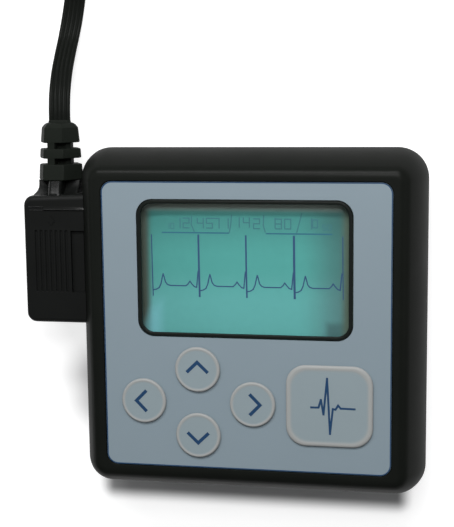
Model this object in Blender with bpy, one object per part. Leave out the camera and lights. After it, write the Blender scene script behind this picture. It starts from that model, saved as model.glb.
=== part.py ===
"""Pocket ECG recorder lying on its back, with its patient cable.

Metres. +Z is the normal of the front panel, +Y the recorder's top edge.
The origin is under the middle of the case, at its back face.
"""

import math

import bmesh
import bpy
from mathutils import Vector

# Clearances shared by the whole part
GAP = 0.0003
FINE_GAP = 0.0002
CUT_OVERRUN = 0.0020
SHARP_ANGLE = math.radians(35)
PATH_SAMPLES = 20

# Case
FRAME_SIDE_WIDTH = 0.00665
FRAME_END_WIDTH = 0.0064
PARTING_RAISE = 0.0002
PARTING_GAP = 0.0002
CASE_CORNER_RADIUS = 0.0066
CASE_WALL = 0.0020
EDGE_RADIUS = 0.0020
SIDE_RADIUS = 0.0210
EDGE_TURN = math.radians(58)
SIDE_TURN = math.radians(85)
EDGE_STEPS = 3
SIDE_STEPS = 4
CORNER_STEPS = 5
CAVITY_CORNER_RADIUS = 0.0040

# Front panel
FRONT_WALL = 0.0018
PANEL_CORNER_RADIUS = 0.0023
PANEL_THICKNESS = 0.0003
PANEL_BELOW_RIM = 0.0003
PANEL_SIDE_GAP = 0.00015

# Window and its ring
WINDOW_X = -0.0001
WINDOW_TOP_MARGIN = 0.0034
RING_WIDTH = 0.0447
RING_DEPTH = 0.0289
RING_WALL = 0.0008
RING_CORNER_RADIUS = 0.0029
RING_ABOVE_PANEL = 0.0002
RING_HEIGHT = 0.0006
LENS_THICKNESS = 0.0008

# Screen
GLASS_NARROWER = 0.0001
GLASS_SHALLOWER = 0.0003
GLASS_THICKNESS = 0.0011
BACKLIGHT_THICKNESS = 0.0016
SCREEN_FRAME_WALL = 0.0009
FLEX_WIDTH = 0.0160
FLEX_THICKNESS = 0.0003
FLEX_REACH = 0.0030

# Keys
KEY_TRAVEL = 0.0003
KEY_STOP_SPARE = 0.00005
KEY_RADIUS = 0.00485
KEY_OVERHANG = 0.0005
KEY_CAP_THICKNESS = 0.00036
KEY_RIM_WIDTH = 0.0006
KEY_DISH = 0.0001
KEY_FLANGE_LIP = 0.0007
KEY_FLANGE_THICKNESS = 0.0007
KEY_STEM_RADIUS = 0.0015
KEY_REACH_X = 0.0115
KEY_REACH_Y = 0.0070
KEYPAD_SIDE_MARGIN = 0.0035
KEYPAD_BOTTOM_MARGIN = 0.0022
KEYPAD_WINDOW_GAP = 0.0017
KEYPAD_EVENT_GAP = 0.00205
EVENT_SIDE_MARGIN = 0.00385
EVENT_RAISE = 0.0004
EVENT_WIDTH = 0.0176
EVENT_DEPTH = 0.0174
EVENT_CORNER_RADIUS = 0.0033
EVENT_RIM_WIDTH = 0.0011
KEY_SIDES = 24

# Domes
DOME_RADIUS = 0.0030
DOME_HEIGHT = 0.0005
DOME_FILM_THICKNESS = 0.0001
DOME_FILM_MARGIN = 0.0005
DOME_SHARES = ((1.0, 0.0), (0.86, 0.5), (0.5, 1.0))

# Main board and what it carries
BOARD_MARGIN = 0.0055
BOARD_CORNER_CUT = 0.0075
BOARD_THICKNESS = 0.0010
CHIP_SHARES = (
    # name; x, y, width and depth as shares of the board's width; height of its thickness
    ("processor_chip", 0.065, 0.097, 0.161, 0.161, 1.2),
    ("memory_chip", 0.306, 0.065, 0.129, 0.097, 1.0),
    ("amplifier_chip", -0.177, 0.129, 0.097, 0.113, 1.2),
)
BEEPER_FROM_SIDE = 0.0110
BEEPER_FROM_END = 0.0120
BEEPER_RADIUS = 0.0048
BEEPER_HEIGHT = 0.0042
BEEPER_HOLE_RADIUS = 0.0010
BEEPER_HOLE_DEPTH = 0.0015
BACKUP_X = -0.0020
BACKUP_FROM_END = 0.0083
BACKUP_RADIUS = 0.00625
BACKUP_HEIGHT = 0.0020

# Power cell and its bay
CELL_RADIUS = 0.00525
CELL_LENGTH = 0.0430
CELL_NUB_RADIUS = 0.0019
CELL_NUB_LENGTH = 0.0010
CELL_EDGE = 0.0004
CELL_FROM_END = 0.01085
CELL_LIFT = 0.0019
CELL_SIDES = 20
BAY_WALL = 0.0010
BAY_ROOF = 0.0007
SPRING_LENGTH = 0.0045
SPRING_LARGE_RADIUS = 0.0036
SPRING_SMALL_RADIUS = 0.0020
SPRING_WIRE_RADIUS = 0.0003
SPRING_CURLS = 3
SPRING_POINTS = 9
CONTACT_THICKNESS = 0.0004
CONTACT_WIDTH = 0.0080
CONTACT_DEPTH = 0.0084

# Battery door
DOOR_THICKNESS = 0.0016
DOOR_LIP = 0.0011
DOOR_LIP_HEIGHT = 0.0006
DOOR_INNER_REACH = 0.0090
DOOR_GRIP_DEPTH = 0.0004
DOOR_GRIP_LENGTH = 0.0120
DOOR_GRIP_WIDTH = 0.0007
DOOR_GRIP_PITCH = 0.0016
DOOR_GRIP_COUNT = 4

# Screws, columns and inserts
SCREW_INSET = 0.0065
SCREW_SHANK_RADIUS = 0.0010
SCREW_HEAD_RADIUS = 0.0020
SCREW_HEAD_HEIGHT = 0.0012
SCREW_TIP_CLEARANCE = 0.0006
SCREW_BORE_RADIUS = 0.0013
SCREW_SEAT_DEPTH = 0.0016
COLUMN_RADIUS = 0.0030
COLUMN_BAY_GAP = 0.0009
INSERT_RADIUS = 0.0018
INSERT_LENGTH = 0.0050
ROUND_SIDES = 12

# Patient cable's plug
PLUG_REACH = 0.0115
PLUG_FROM_END = 0.00935
PLUG_LENGTH = 0.0276
PLUG_THICKNESS = 0.0130
PLUG_CORNER_RADIUS = 0.0024
PLUG_EDGE_RADIUS = 0.0010
PLUG_EDGE_SHARES = (0.0, 0.12, 0.45, 1.0)
PLUG_SHOULDER_RADIUS = 0.0028
PLUG_CASE_REACH = 0.0060
PLUG_GROOVE_DEPTH = 0.0003
PLUG_GROOVE_WIDTH = 0.0005
PLUG_GROOVE_PITCH = 0.0011
PLUG_GROOVE_COUNT = 6
PLUG_GROOVE_BOTTOM_MARGIN = 0.0067
PLUG_GROOVE_TOP_MARGIN = 0.0078
PLUG_GROOVE_MARGIN = 0.0038
PLUG_POCKET_REACH = 0.0012
PLUG_POCKET_DEPTH = 0.0008
SHIELD_DEPTH = 0.0166
SHIELD_HEIGHT = 0.0044
SHIELD_WALL = 0.0004
SHIELD_LENGTH = 0.0085
TONGUE_SIDE_GAP = 0.0011
TONGUE_THICKNESS = 0.0014
TONGUE_SHORTER = 0.0007
PLUG_PIN_COUNT = 6
PLUG_PIN_WIDTH = 0.0010
PLUG_PIN_THICKNESS = 0.0003
PLUG_PIN_PITCH = 0.0021

# Socket inside the case
PORT_MARGIN = 0.0005
SOCKET_WALL = 0.0014
SOCKET_BACK_WALL = 0.0030
SOCKET_MOUTH_GAP = 0.0006
SOCKET_PIN_LENGTH = 0.0020
SOCKET_SETBACK = 0.0036

# Boot
BOOT_REACH = 0.0051
BOOT_LENGTH = 0.0121
NECK_LENGTH = 0.0025
NECK_ROOT = 0.0030
NECK_WIDTH = 0.0072
NECK_HEIGHT = 0.0064
NECK_FLARE = 0.0008
BOOT_LOW_WIDTH = 0.0073
BOOT_MID_WIDTH = 0.0069
BOOT_RING_WIDTH = 0.0067
BOOT_HIGH_WIDTH = 0.0062
BOOT_END_WIDTH = 0.0054
BOOT_LOW_HEIGHT = 0.0086
BOOT_MID_HEIGHT = 0.0081
BOOT_HIGH_HEIGHT = 0.0074
BOOT_END_HEIGHT = 0.0044
BOOT_CORNER_RADIUS = 0.0016
BOOT_SHOULDER = 0.0012
NOTCH_START = 0.00335
NOTCH_PITCH = 0.0033
NOTCH_WIDTH = 0.00125
NOTCH_CORE_WIDTH = 0.0040
NOTCH_CORE_HEIGHT = 0.0046
NOTCH_POST = 0.0012

# Ribbon cord of five wires side by side
WIRE_DIAMETER = 0.00095
WIRE_COUNT = 5
RIBBON_EDGE_SHARE = 0.45
FLOOR_LIFT = 0.0001

# Free stretch: middle line from the boot to the coil, and how far it has
# twisted from lying flat (0) to standing on its edge (1)
RIBBON_ROUTE = (
    # x, y, z, twist
    (-0.0416, 0.0419, 0.0105, 0.0),
    (-0.0416, 0.0445, 0.0104, 0.0),
    (-0.0417, 0.0480, 0.0095, 0.0),
    (-0.0419, 0.0520, 0.0072, 0.0),
    (-0.0420, 0.0560, 0.0042, 0.0),
    (-0.0418, 0.0600, 0.0017, 0.0),
    (-0.0411, 0.0645, 0.0008, 0.0),
    (-0.0401, 0.0700, 0.0010, 0.08),
    (-0.0392, 0.0755, 0.0017, 0.30),
    (-0.0385, 0.0810, 0.0024, 0.60),
    (-0.03815, 0.0865, 0.00258, 0.86),
    (-0.03802, 0.0920, 0.00250, 0.98),
    (-0.03800, 0.0970, 0.00248, 1.0),
    (-0.03800, 0.1020, 0.00248, 1.0),
)
RIBBON_STEPS = 40

# Coil of the ribbon, on its edge, wound inwards
COIL_X = -0.0077
COIL_Y = 0.1020
COIL_OUTER_RADIUS = 0.0303
COIL_PITCH = 0.00175
COIL_TURNS = 3.75
COIL_POINTS_PER_TURN = 24
COIL_HUMP_ANGLE = math.radians(0)
COIL_HUMP_FLAT = math.radians(12)
COIL_HUMP_SPREAD = math.radians(50)

# Tie round the coil's turns
TIE_THICKNESS = 0.0010
TIE_WIDTH = 0.0080

# Yoke where the wires part
YOKE_LENGTH = 0.0070
YOKE_WIDTH = 0.0022
YOKE_SIDE_SHIFT = 0.0003
YOKE_BEVEL_SHARE = 0.2
YOKE_STEPS = 5

# Lead wires and their snap connectors
LEAD_DIAMETER = 0.00090
LEAD_PITCH = 0.00125
LEAD_LANE_RADIUS = 0.02115
LEAD_FAN = math.radians(46)
LEAD_FIRST_TRAVEL = math.radians(114)
LEAD_TRAVEL_STEP = math.radians(59)
LEAD_TURN_IN = math.radians(66)
LEAD_PULL_SHARE = 0.36
LEAD_LANE_POINTS = 10
LEAD_TURN_POINTS = 6
LEAD_STEPS = 24
SNAP_RADIUS = 0.0042
SNAP_HEIGHT = 0.0046
SNAP_EDGE = 0.0006
SNAP_CIRCLE = 0.0092
SNAP_TAIL_LENGTH = 0.0027
SNAP_TAIL_ROOT_WIDTH = 0.0030
SNAP_TAIL_END_WIDTH = 0.0018
SNAP_TAIL_ROOT_HEIGHT = 0.0028
SNAP_TAIL_END_HEIGHT = 0.0018
SNAP_TAIL_TILT = math.radians(64)
SNAP_BORE_RADIUS = 0.0026
SNAP_BORE_DEPTH = 0.0022
EYELET_RADIUS = 0.0023
EYELET_BORE_RADIUS = 0.0017
EYELET_HEIGHT = 0.0018

# Heights that follow from the sizes above: the case is as thick as its stack
CELL_Z = CELL_LIFT + CELL_RADIUS
BAY_TOP = CELL_Z + CELL_RADIUS + GAP
BOARD_BOTTOM = BAY_TOP + BAY_ROOF + GAP
BOARD_TOP = BOARD_BOTTOM + BOARD_THICKNESS
BACKLIGHT_TOP = BOARD_TOP + GAP + BACKLIGHT_THICKNESS
FRONT_CEILING = BACKLIGHT_TOP + GAP + GLASS_THICKNESS + GAP
PANEL_FLOOR = FRONT_CEILING + FRONT_WALL
PANEL_TOP = PANEL_FLOOR + GAP + PANEL_THICKNESS
CASE_HEIGHT = PANEL_TOP + PANEL_BELOW_RIM
PARTING_HEIGHT = CASE_HEIGHT / 2 + PARTING_RAISE
DOME_TOP = BOARD_TOP + GAP + DOME_FILM_THICKNESS + DOME_HEIGHT
CAP_BOTTOM = PANEL_TOP + KEY_TRAVEL + KEY_STOP_SPARE
CAP_TOP = CAP_BOTTOM + KEY_CAP_THICKNESS
STEM_BOTTOM = DOME_TOP + KEY_TRAVEL + KEY_STOP_SPARE
RING_TOP = PANEL_TOP + RING_ABOVE_PANEL
LENS_TOP = RING_TOP - RING_HEIGHT - GAP
LENS_BOTTOM = LENS_TOP - LENS_THICKNESS
BAY_HALF_DEPTH = CELL_RADIUS + GAP
BAY_HALF_LENGTH = (CELL_LENGTH + CELL_NUB_LENGTH + SPRING_LENGTH + CONTACT_THICKNESS) / 2 + 2 * GAP
COLUMN_TOP = PARTING_HEIGHT - GAP
BORE_TOP = PARTING_HEIGHT + 2 * GAP + INSERT_LENGTH

# Widths and places that follow: the front is as large as its window and keys,
# and the case has room for the cell's bay between the screw columns
KEYPAD_WIDTH = 2 * (KEY_REACH_X + KEY_RADIUS)
KEYPAD_DEPTH = 2 * (KEY_REACH_Y + KEY_RADIUS)
PANEL_WIDTH = KEYPAD_SIDE_MARGIN + KEYPAD_WIDTH + KEYPAD_EVENT_GAP + EVENT_WIDTH + EVENT_SIDE_MARGIN
PANEL_DEPTH = WINDOW_TOP_MARGIN + RING_DEPTH + KEYPAD_WINDOW_GAP + KEYPAD_DEPTH + KEYPAD_BOTTOM_MARGIN
BAY_ROOM = 2 * (BAY_HALF_LENGTH + BAY_WALL + COLUMN_BAY_GAP + COLUMN_RADIUS + SCREW_INSET)
CASE_WIDTH = max(PANEL_WIDTH + 2 * FRAME_SIDE_WIDTH, BAY_ROOM)
CASE_DEPTH = PANEL_DEPTH + 2 * FRAME_END_WIDTH
WINDOW_Y = PANEL_DEPTH / 2 - WINDOW_TOP_MARGIN - RING_DEPTH / 2
GLASS_WIDTH = RING_WIDTH - GLASS_NARROWER
GLASS_DEPTH = RING_DEPTH - GLASS_SHALLOWER
KEYPAD_X = KEYPAD_SIDE_MARGIN + (KEYPAD_WIDTH - PANEL_WIDTH) / 2
KEYPAD_Y = KEYPAD_BOTTOM_MARGIN + (KEYPAD_DEPTH - PANEL_DEPTH) / 2
EVENT_X = (PANEL_WIDTH - EVENT_WIDTH) / 2 - EVENT_SIDE_MARGIN
EVENT_Y = KEYPAD_Y + EVENT_RAISE
BOARD_WIDTH = CASE_WIDTH - 2 * BOARD_MARGIN
BOARD_DEPTH = CASE_DEPTH - 2 * BOARD_MARGIN
CELL_Y = CELL_FROM_END - CASE_DEPTH / 2
DOOR_INNER_Y = CELL_Y + DOOR_INNER_REACH
SCREW_X = CASE_WIDTH / 2 - SCREW_INSET
SCREW_Y = CASE_DEPTH / 2 - SCREW_INSET
PLUG_LEFT = -CASE_WIDTH / 2 - PLUG_REACH
PLUG_TOP = CASE_DEPTH / 2 - PLUG_FROM_END
PLUG_BOTTOM = PLUG_TOP - PLUG_LENGTH
PLUG_Z = CASE_HEIGHT / 2
BOOT_X = -CASE_WIDTH / 2 - BOOT_REACH
BOOT_Y = PLUG_TOP + NECK_LENGTH
BOOT_END_Y = BOOT_Y + BOOT_LENGTH
NOTCH_LOW_Y = BOOT_Y + NOTCH_START
NOTCH_HIGH_Y = NOTCH_LOW_Y + NOTCH_PITCH
RIBBON_WIDTH = WIRE_DIAMETER * WIRE_COUNT
RIBBON_STAND = FLOOR_LIFT + RIBBON_WIDTH / 2
TIE_RAISE = FLOOR_LIFT + TIE_THICKNESS + GAP


def clear_scene():
    for thing in list(bpy.data.objects):
        bpy.data.objects.remove(thing, do_unlink=True)


def make_material(name, colour, roughness, metallic=0.0):
    material = bpy.data.materials.new(name)
    material.use_nodes = True
    shader = material.node_tree.nodes["Principled BSDF"]
    shader.inputs["Base Color"].default_value = (*colour, 1.0)
    shader.inputs["Roughness"].default_value = roughness
    shader.inputs["Metallic"].default_value = metallic
    material.diffuse_color = (*colour, 1.0)
    return material


# Materials, colours as linear values
CASE_BLACK = make_material("case_black", (0.010, 0.011, 0.010), 0.42)
PANEL_BLUE = make_material("panel_blue_grey", (0.24, 0.30, 0.34), 0.45)
RING_BLACK = make_material("ring_black", (0.012, 0.016, 0.015), 0.30)
CLEAR_PLASTIC = make_material("clear_plastic", (0.80, 0.85, 0.85), 0.05)
SCREEN_TEAL = make_material("screen_teal", (0.08, 0.34, 0.31), 0.20)
LIGHT_GUIDE = make_material("light_guide", (0.75, 0.85, 0.80), 0.35)
FRAME_GREY = make_material("frame_grey", (0.05, 0.05, 0.05), 0.50)
FLEX_AMBER = make_material("flex_amber", (0.45, 0.20, 0.04), 0.40)
BOARD_GREEN = make_material("board_green", (0.02, 0.12, 0.05), 0.45)
CHIP_BLACK = make_material("chip_black", (0.015, 0.015, 0.015), 0.50)
SPRING_STEEL = make_material("spring_steel", (0.60, 0.60, 0.58), 0.28, 1.0)
CELL_SLEEVE = make_material("cell_sleeve", (0.16, 0.17, 0.18), 0.30)
SCREW_STEEL = make_material("screw_steel", (0.25, 0.25, 0.25), 0.35, 1.0)
INSERT_BRASS = make_material("insert_brass", (0.60, 0.42, 0.15), 0.35, 1.0)
KEY_GREY = make_material("key_grey", (0.27, 0.33, 0.36), 0.45)
PLUG_BLACK = make_material("plug_black", (0.011, 0.012, 0.012), 0.50)
BOOT_BLACK = make_material("boot_black", (0.018, 0.021, 0.018), 0.55)
CORD_BLACK = make_material("cord_black", (0.014, 0.016, 0.014), 0.50)
TIE_BLACK = make_material("tie_black", (0.012, 0.012, 0.012), 0.85)


def rounded_outline(width, depth, radius, steps=CORNER_STEPS, centre=(0.0, 0.0)):
    """Points of a rounded rectangle, counterclockwise."""
    points = []
    half_x, half_y = width / 2 - radius, depth / 2 - radius
    for quarter, (sign_x, sign_y) in enumerate(((1, 1), (-1, 1), (-1, -1), (1, -1))):
        for step in range(steps + 1):
            angle = math.pi / 2 * (quarter + step / steps)
            points.append((
                centre[0] + sign_x * half_x + radius * math.cos(angle),
                centre[1] + sign_y * half_y + radius * math.sin(angle),
            ))
    return points


def circle_outline(radius, sides, centre=(0.0, 0.0)):
    return [
        (centre[0] + radius * math.cos(2 * math.pi * side / sides),
         centre[1] + radius * math.sin(2 * math.pi * side / sides))
        for side in range(sides)
    ]


def ring_at(outline, height):
    return [Vector((x, y, height)) for x, y in outline]


def add_loft(mesh, rings):
    """A closed body through rings of equal count, bottom first."""
    loops = [[mesh.verts.new(point) for point in ring] for ring in rings]
    count = len(loops[0])
    for low, high in zip(loops, loops[1:]):
        for side in range(count):
            after = (side + 1) % count
            mesh.faces.new((low[side], low[after], high[after], high[side]))
    mesh.faces.new(list(reversed(loops[0])))
    mesh.faces.new(loops[-1])


def add_tube_ring(mesh, rings):
    """A closed band through rings whose last one joins the first."""
    loops = [[mesh.verts.new(point) for point in ring] for ring in rings]
    count = len(loops[0])
    for low, high in zip(loops, loops[1:] + loops[:1]):
        for side in range(count):
            after = (side + 1) % count
            mesh.faces.new((low[side], low[after], high[after], high[side]))


def finish_object(name, mesh, material, origin=(0.0, 0.0, 0.0), smooth=True):
    """An object whose origin lies at the given point of its mesh."""
    bmesh.ops.recalc_face_normals(mesh, faces=mesh.faces)
    bmesh.ops.translate(mesh, verts=mesh.verts, vec=-Vector(origin))
    data = bpy.data.meshes.new(name)
    mesh.to_mesh(data)
    mesh.free()
    if smooth:
        data.shade_smooth()
        data.set_sharp_from_angle(angle=SHARP_ANGLE)
    thing = bpy.data.objects.new(name, data)
    thing.location = origin
    if material:
        data.materials.append(material)
    bpy.context.collection.objects.link(thing)
    return thing


def loft_object(name, rings, material, origin=(0.0, 0.0, 0.0)):
    mesh = bmesh.new()
    add_loft(mesh, rings)
    return finish_object(name, mesh, material, origin)


def add_box(mesh, low, high):
    outline = ((low[0], low[1]), (high[0], low[1]), (high[0], high[1]), (low[0], high[1]))
    add_loft(mesh, [ring_at(outline, low[2]), ring_at(outline, high[2])])


def box_object(name, low, high, material):
    mesh = bmesh.new()
    add_box(mesh, low, high)
    return finish_object(name, mesh, material, smooth=False)


def add_post(mesh, centre, radius, low, high, sides=ROUND_SIDES):
    outline = circle_outline(radius, sides, centre)
    add_loft(mesh, [ring_at(outline, low), ring_at(outline, high)])


def sleeve_object(name, centre, radii, heights, material):
    """An open tube round a centre, from its outer and inner radius."""
    outer = circle_outline(radii[0], ROUND_SIDES, centre)
    inner = circle_outline(radii[1], ROUND_SIDES, centre)
    low, high = heights
    mesh = bmesh.new()
    add_tube_ring(mesh, [
        ring_at(outer, low), ring_at(outer, high), ring_at(inner, high), ring_at(inner, low),
    ])
    return finish_object(name, mesh, material)


def guide(thing):
    """A shape that only cuts or adds to another."""
    thing.hide_render = True
    thing.display_type = "WIRE"
    return thing


def combine(target, tool, operation):
    modifier = target.modifiers.new(tool.name, "BOOLEAN")
    modifier.operation = operation
    modifier.solver = "EXACT"
    modifier.object = guide(tool)


def cut(target, tool):
    combine(target, tool, "DIFFERENCE")


def join_shape(target, tool):
    combine(target, tool, "UNION")


def side_stretch(side_height):
    """Scale that fits the side's two arcs into a case half of this height."""
    arcs = SIDE_RADIUS * (math.cos(EDGE_TURN) - math.cos(SIDE_TURN))
    arcs += EDGE_RADIUS * (1 - math.cos(EDGE_TURN))
    return side_height / arcs


def half_height(rise):
    return CASE_HEIGHT - PARTING_HEIGHT if rise > 0 else PARTING_HEIGHT


def side_inset(up):
    """How far the front half's side has drawn in at a height above the parting plane."""
    slope = math.cos(SIDE_TURN) + up / (side_stretch(half_height(1)) * SIDE_RADIUS)
    return SIDE_RADIUS * (math.sin(SIDE_TURN) - math.sqrt(1 - slope ** 2))


def case_levels(rise, growth=0.0):
    """Insets and heights of the case's side, from the parting plane outwards.

    rise is 1 towards the front face and -1 towards the back face.
    """
    stretch = side_stretch(half_height(rise))
    levels = []
    for step in range(SIDE_STEPS + 1):
        angle = SIDE_TURN + (EDGE_TURN - SIDE_TURN) * step / SIDE_STEPS
        levels.append((
            SIDE_RADIUS * (math.sin(SIDE_TURN) - math.sin(angle)),
            stretch * SIDE_RADIUS * (math.cos(angle) - math.cos(SIDE_TURN)),
        ))
    inset, height = levels[-1]
    for step in range(1, EDGE_STEPS + 1):
        angle = EDGE_TURN * (1 - step / EDGE_STEPS)
        levels.append((
            inset + EDGE_RADIUS * (math.sin(EDGE_TURN) - math.sin(angle)),
            height + stretch * EDGE_RADIUS * (math.cos(angle) - math.cos(EDGE_TURN)),
        ))
    return [(taper - growth, PARTING_HEIGHT + rise * up) for taper, up in levels]


def case_ring(inset, height):
    outline = rounded_outline(
        CASE_WIDTH - 2 * inset,
        CASE_DEPTH - 2 * inset,
        CASE_CORNER_RADIUS - inset,
    )
    return ring_at(outline, height)


def case_half(name, rise, material, growth=0.0):
    rings = [case_ring(inset, height) for inset, height in case_levels(rise, growth)]
    if rise < 0:
        rings.reverse()
    return loft_object(name, rings, material)


def cavity_half(name, rise, end_height):
    """The hollow inside a case half: the side's curve one wall further in."""
    rings = []
    for inset, height in case_levels(rise):
        beyond = (height - end_height) * rise > 0
        level = end_height if beyond else height
        width = CASE_WIDTH - 2 * (inset + CASE_WALL)
        depth = CASE_DEPTH - 2 * (inset + CASE_WALL)
        rings.append(ring_at(rounded_outline(width, depth, CAVITY_CORNER_RADIUS), level))
        if beyond:
            break
    rings.insert(0, [point - Vector((0, 0, rise * CUT_OVERRUN)) for point in rings[0]])
    if rise < 0:
        rings.reverse()
    return loft_object(name, rings, None)


def key_places():
    return {
        "key_up": (KEYPAD_X, KEYPAD_Y + KEY_REACH_Y),
        "key_left": (KEYPAD_X - KEY_REACH_X, KEYPAD_Y),
        "key_right": (KEYPAD_X + KEY_REACH_X, KEYPAD_Y),
        "key_down": (KEYPAD_X, KEYPAD_Y - KEY_REACH_Y),
    }


def key_outline(centre, shrink):
    """The round key's outline, shrink in from its rim."""
    return circle_outline(KEY_RADIUS - shrink, KEY_SIDES, centre)


def event_outline(centre, shrink):
    return rounded_outline(
        EVENT_WIDTH - 2 * shrink,
        EVENT_DEPTH - 2 * shrink,
        EVENT_CORNER_RADIUS - shrink / 2,
        CORNER_STEPS,
        centre,
    )


def all_keys():
    """Each key's name, centre, outline function and rim width."""
    keys = [
        (name, place, key_outline, KEY_RIM_WIDTH) for name, place in key_places().items()
    ]
    keys.append(("key_event", (EVENT_X, EVENT_Y), event_outline, EVENT_RIM_WIDTH))
    return keys


def window_outline(width_in, depth_in, radius):
    return rounded_outline(width_in, depth_in, radius, CORNER_STEPS, (WINDOW_X, WINDOW_Y))


def ring_outline(inset):
    """The window ring's outer outline moved inwards by inset."""
    return window_outline(
        RING_WIDTH - 2 * inset,
        RING_DEPTH - 2 * inset,
        RING_CORNER_RADIUS - inset,
    )


def screw_places():
    return [(sx * SCREW_X, sy * SCREW_Y) for sx in (-1, 1) for sy in (-1, 1)]


def front_hole_cutter(name, low, high):
    """Holes for the keys' necks, one body each."""
    mesh = bmesh.new()
    for _, centre, outline, _ in all_keys():
        hole = outline(centre, KEY_OVERHANG - FINE_GAP)
        add_loft(mesh, [ring_at(hole, low), ring_at(hole, high)])
    return finish_object(name, mesh, None)


def port_box(name, low_z, high_z):
    """The opening in the case's left wall for the plug."""
    half_depth = SHIELD_DEPTH / 2 + PORT_MARGIN
    middle = plug_middle()
    return box_object(
        name,
        (-CASE_WIDTH / 2 - CUT_OVERRUN, middle - half_depth, low_z),
        (socket_front() + CUT_OVERRUN, middle + half_depth, high_z),
        None,
    )


def plug_middle():
    return (PLUG_BOTTOM + PLUG_TOP) / 2


def socket_front():
    return SOCKET_SETBACK - CASE_WIDTH / 2


def make_front_shell():
    shell = case_half("front_shell", 1, CASE_BLACK)
    cut(shell, cavity_half("front_cavity", 1, FRONT_CEILING))

    recess = rounded_outline(
        PANEL_WIDTH + 2 * PANEL_SIDE_GAP,
        PANEL_DEPTH + 2 * PANEL_SIDE_GAP,
        PANEL_CORNER_RADIUS + PANEL_SIDE_GAP,
    )
    cut(shell, loft_object("panel_recess", [
        ring_at(recess, PANEL_FLOOR),
        ring_at(recess, CASE_HEIGHT + CUT_OVERRUN),
    ], None))

    opening = ring_outline(RING_WALL)
    cut(shell, loft_object("window_opening", [
        ring_at(opening, FRONT_CEILING - CUT_OVERRUN),
        ring_at(opening, CASE_HEIGHT),
    ], None))
    pocket = ring_outline(-GAP)
    cut(shell, loft_object("window_pocket", [
        ring_at(pocket, LENS_BOTTOM - GAP),
        ring_at(pocket, CASE_HEIGHT),
    ], None))
    cut(shell, front_hole_cutter("shell_key_holes", FRONT_CEILING - CUT_OVERRUN, CASE_HEIGHT))

    mesh = bmesh.new()
    for centre in screw_places():
        add_post(mesh, centre, COLUMN_RADIUS, PARTING_HEIGHT, FRONT_CEILING + FRONT_WALL / 2)
    join_shape(shell, finish_object("front_bosses", mesh, None))
    mesh = bmesh.new()
    for centre in screw_places():
        add_post(mesh, centre, INSERT_RADIUS + FINE_GAP, PARTING_HEIGHT - CUT_OVERRUN, BORE_TOP)
    cut(shell, finish_object("insert_bores", mesh, None))
    port_high = PLUG_Z + SHIELD_HEIGHT / 2 + PORT_MARGIN
    cut(shell, port_box("front_port", PARTING_HEIGHT - CUT_OVERRUN, port_high))
    return shell


def make_panel():
    outline = rounded_outline(PANEL_WIDTH, PANEL_DEPTH, PANEL_CORNER_RADIUS)
    low, high = PANEL_TOP - PANEL_THICKNESS, PANEL_TOP
    panel = loft_object("front_overlay", [ring_at(outline, low), ring_at(outline, high)], PANEL_BLUE)
    opening = ring_outline(-FINE_GAP)
    cut(panel, loft_object("overlay_window", [
        ring_at(opening, low - CUT_OVERRUN),
        ring_at(opening, high + CUT_OVERRUN),
    ], None))
    cut(panel, front_hole_cutter("overlay_key_holes", low - CUT_OVERRUN, high + CUT_OVERRUN))
    return panel


def make_window():
    outer, inner = ring_outline(0.0), ring_outline(RING_WALL)
    low = RING_TOP - RING_HEIGHT
    mesh = bmesh.new()
    add_tube_ring(mesh, [
        ring_at(outer, low), ring_at(outer, RING_TOP),
        ring_at(inner, RING_TOP), ring_at(inner, low),
    ])
    finish_object("screen_bezel", mesh, RING_BLACK)
    loft_object("window_lens", [ring_at(outer, LENS_BOTTOM), ring_at(outer, LENS_TOP)], CLEAR_PLASTIC)


def make_screen():
    """Glass over its backlight, both held in a frame that stands on the board."""
    glass_top = FRONT_CEILING - GAP
    half_x, half_y = GLASS_WIDTH / 2, GLASS_DEPTH / 2
    box_object(
        "lcd_glass",
        (WINDOW_X - half_x, WINDOW_Y - half_y, BACKLIGHT_TOP + GAP),
        (WINDOW_X + half_x, WINDOW_Y + half_y, glass_top),
        SCREEN_TEAL,
    )
    box_object(
        "lcd_backlight",
        (WINDOW_X - half_x, WINDOW_Y - half_y, BOARD_TOP + GAP),
        (WINDOW_X + half_x, WINDOW_Y + half_y, BACKLIGHT_TOP),
        LIGHT_GUIDE,
    )
    inner = [
        (WINDOW_X + sx * (half_x + GAP), WINDOW_Y + sy * (half_y + GAP))
        for sx, sy in ((1, 1), (-1, 1), (-1, -1), (1, -1))
    ]
    reach = GAP + SCREEN_FRAME_WALL
    outer = [
        (WINDOW_X + sx * (half_x + reach), WINDOW_Y + sy * (half_y + reach))
        for sx, sy in ((1, 1), (-1, 1), (-1, -1), (1, -1))
    ]
    low, high = BOARD_TOP + GAP, glass_top
    mesh = bmesh.new()
    add_tube_ring(mesh, [
        ring_at(outer, low), ring_at(outer, high), ring_at(inner, high), ring_at(inner, low),
    ])
    finish_object("lcd_frame", mesh, FRAME_GREY, smooth=False)
    start = WINDOW_Y + half_y + reach + GAP
    mesh = bmesh.new()
    side = (
        (start, low), (start + FLEX_REACH, low),
        (start + FLEX_REACH, low + FLEX_THICKNESS), (start + FLEX_THICKNESS, low + FLEX_THICKNESS),
        (start + FLEX_THICKNESS, high), (start, high),
    )
    ends = []
    for sign in (-1, 1):
        x = WINDOW_X + sign * FLEX_WIDTH / 2
        ends.append([Vector((x, y, z)) for y, z in side])
    add_loft(mesh, ends)
    finish_object("lcd_flex", mesh, FLEX_AMBER, smooth=False)


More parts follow.
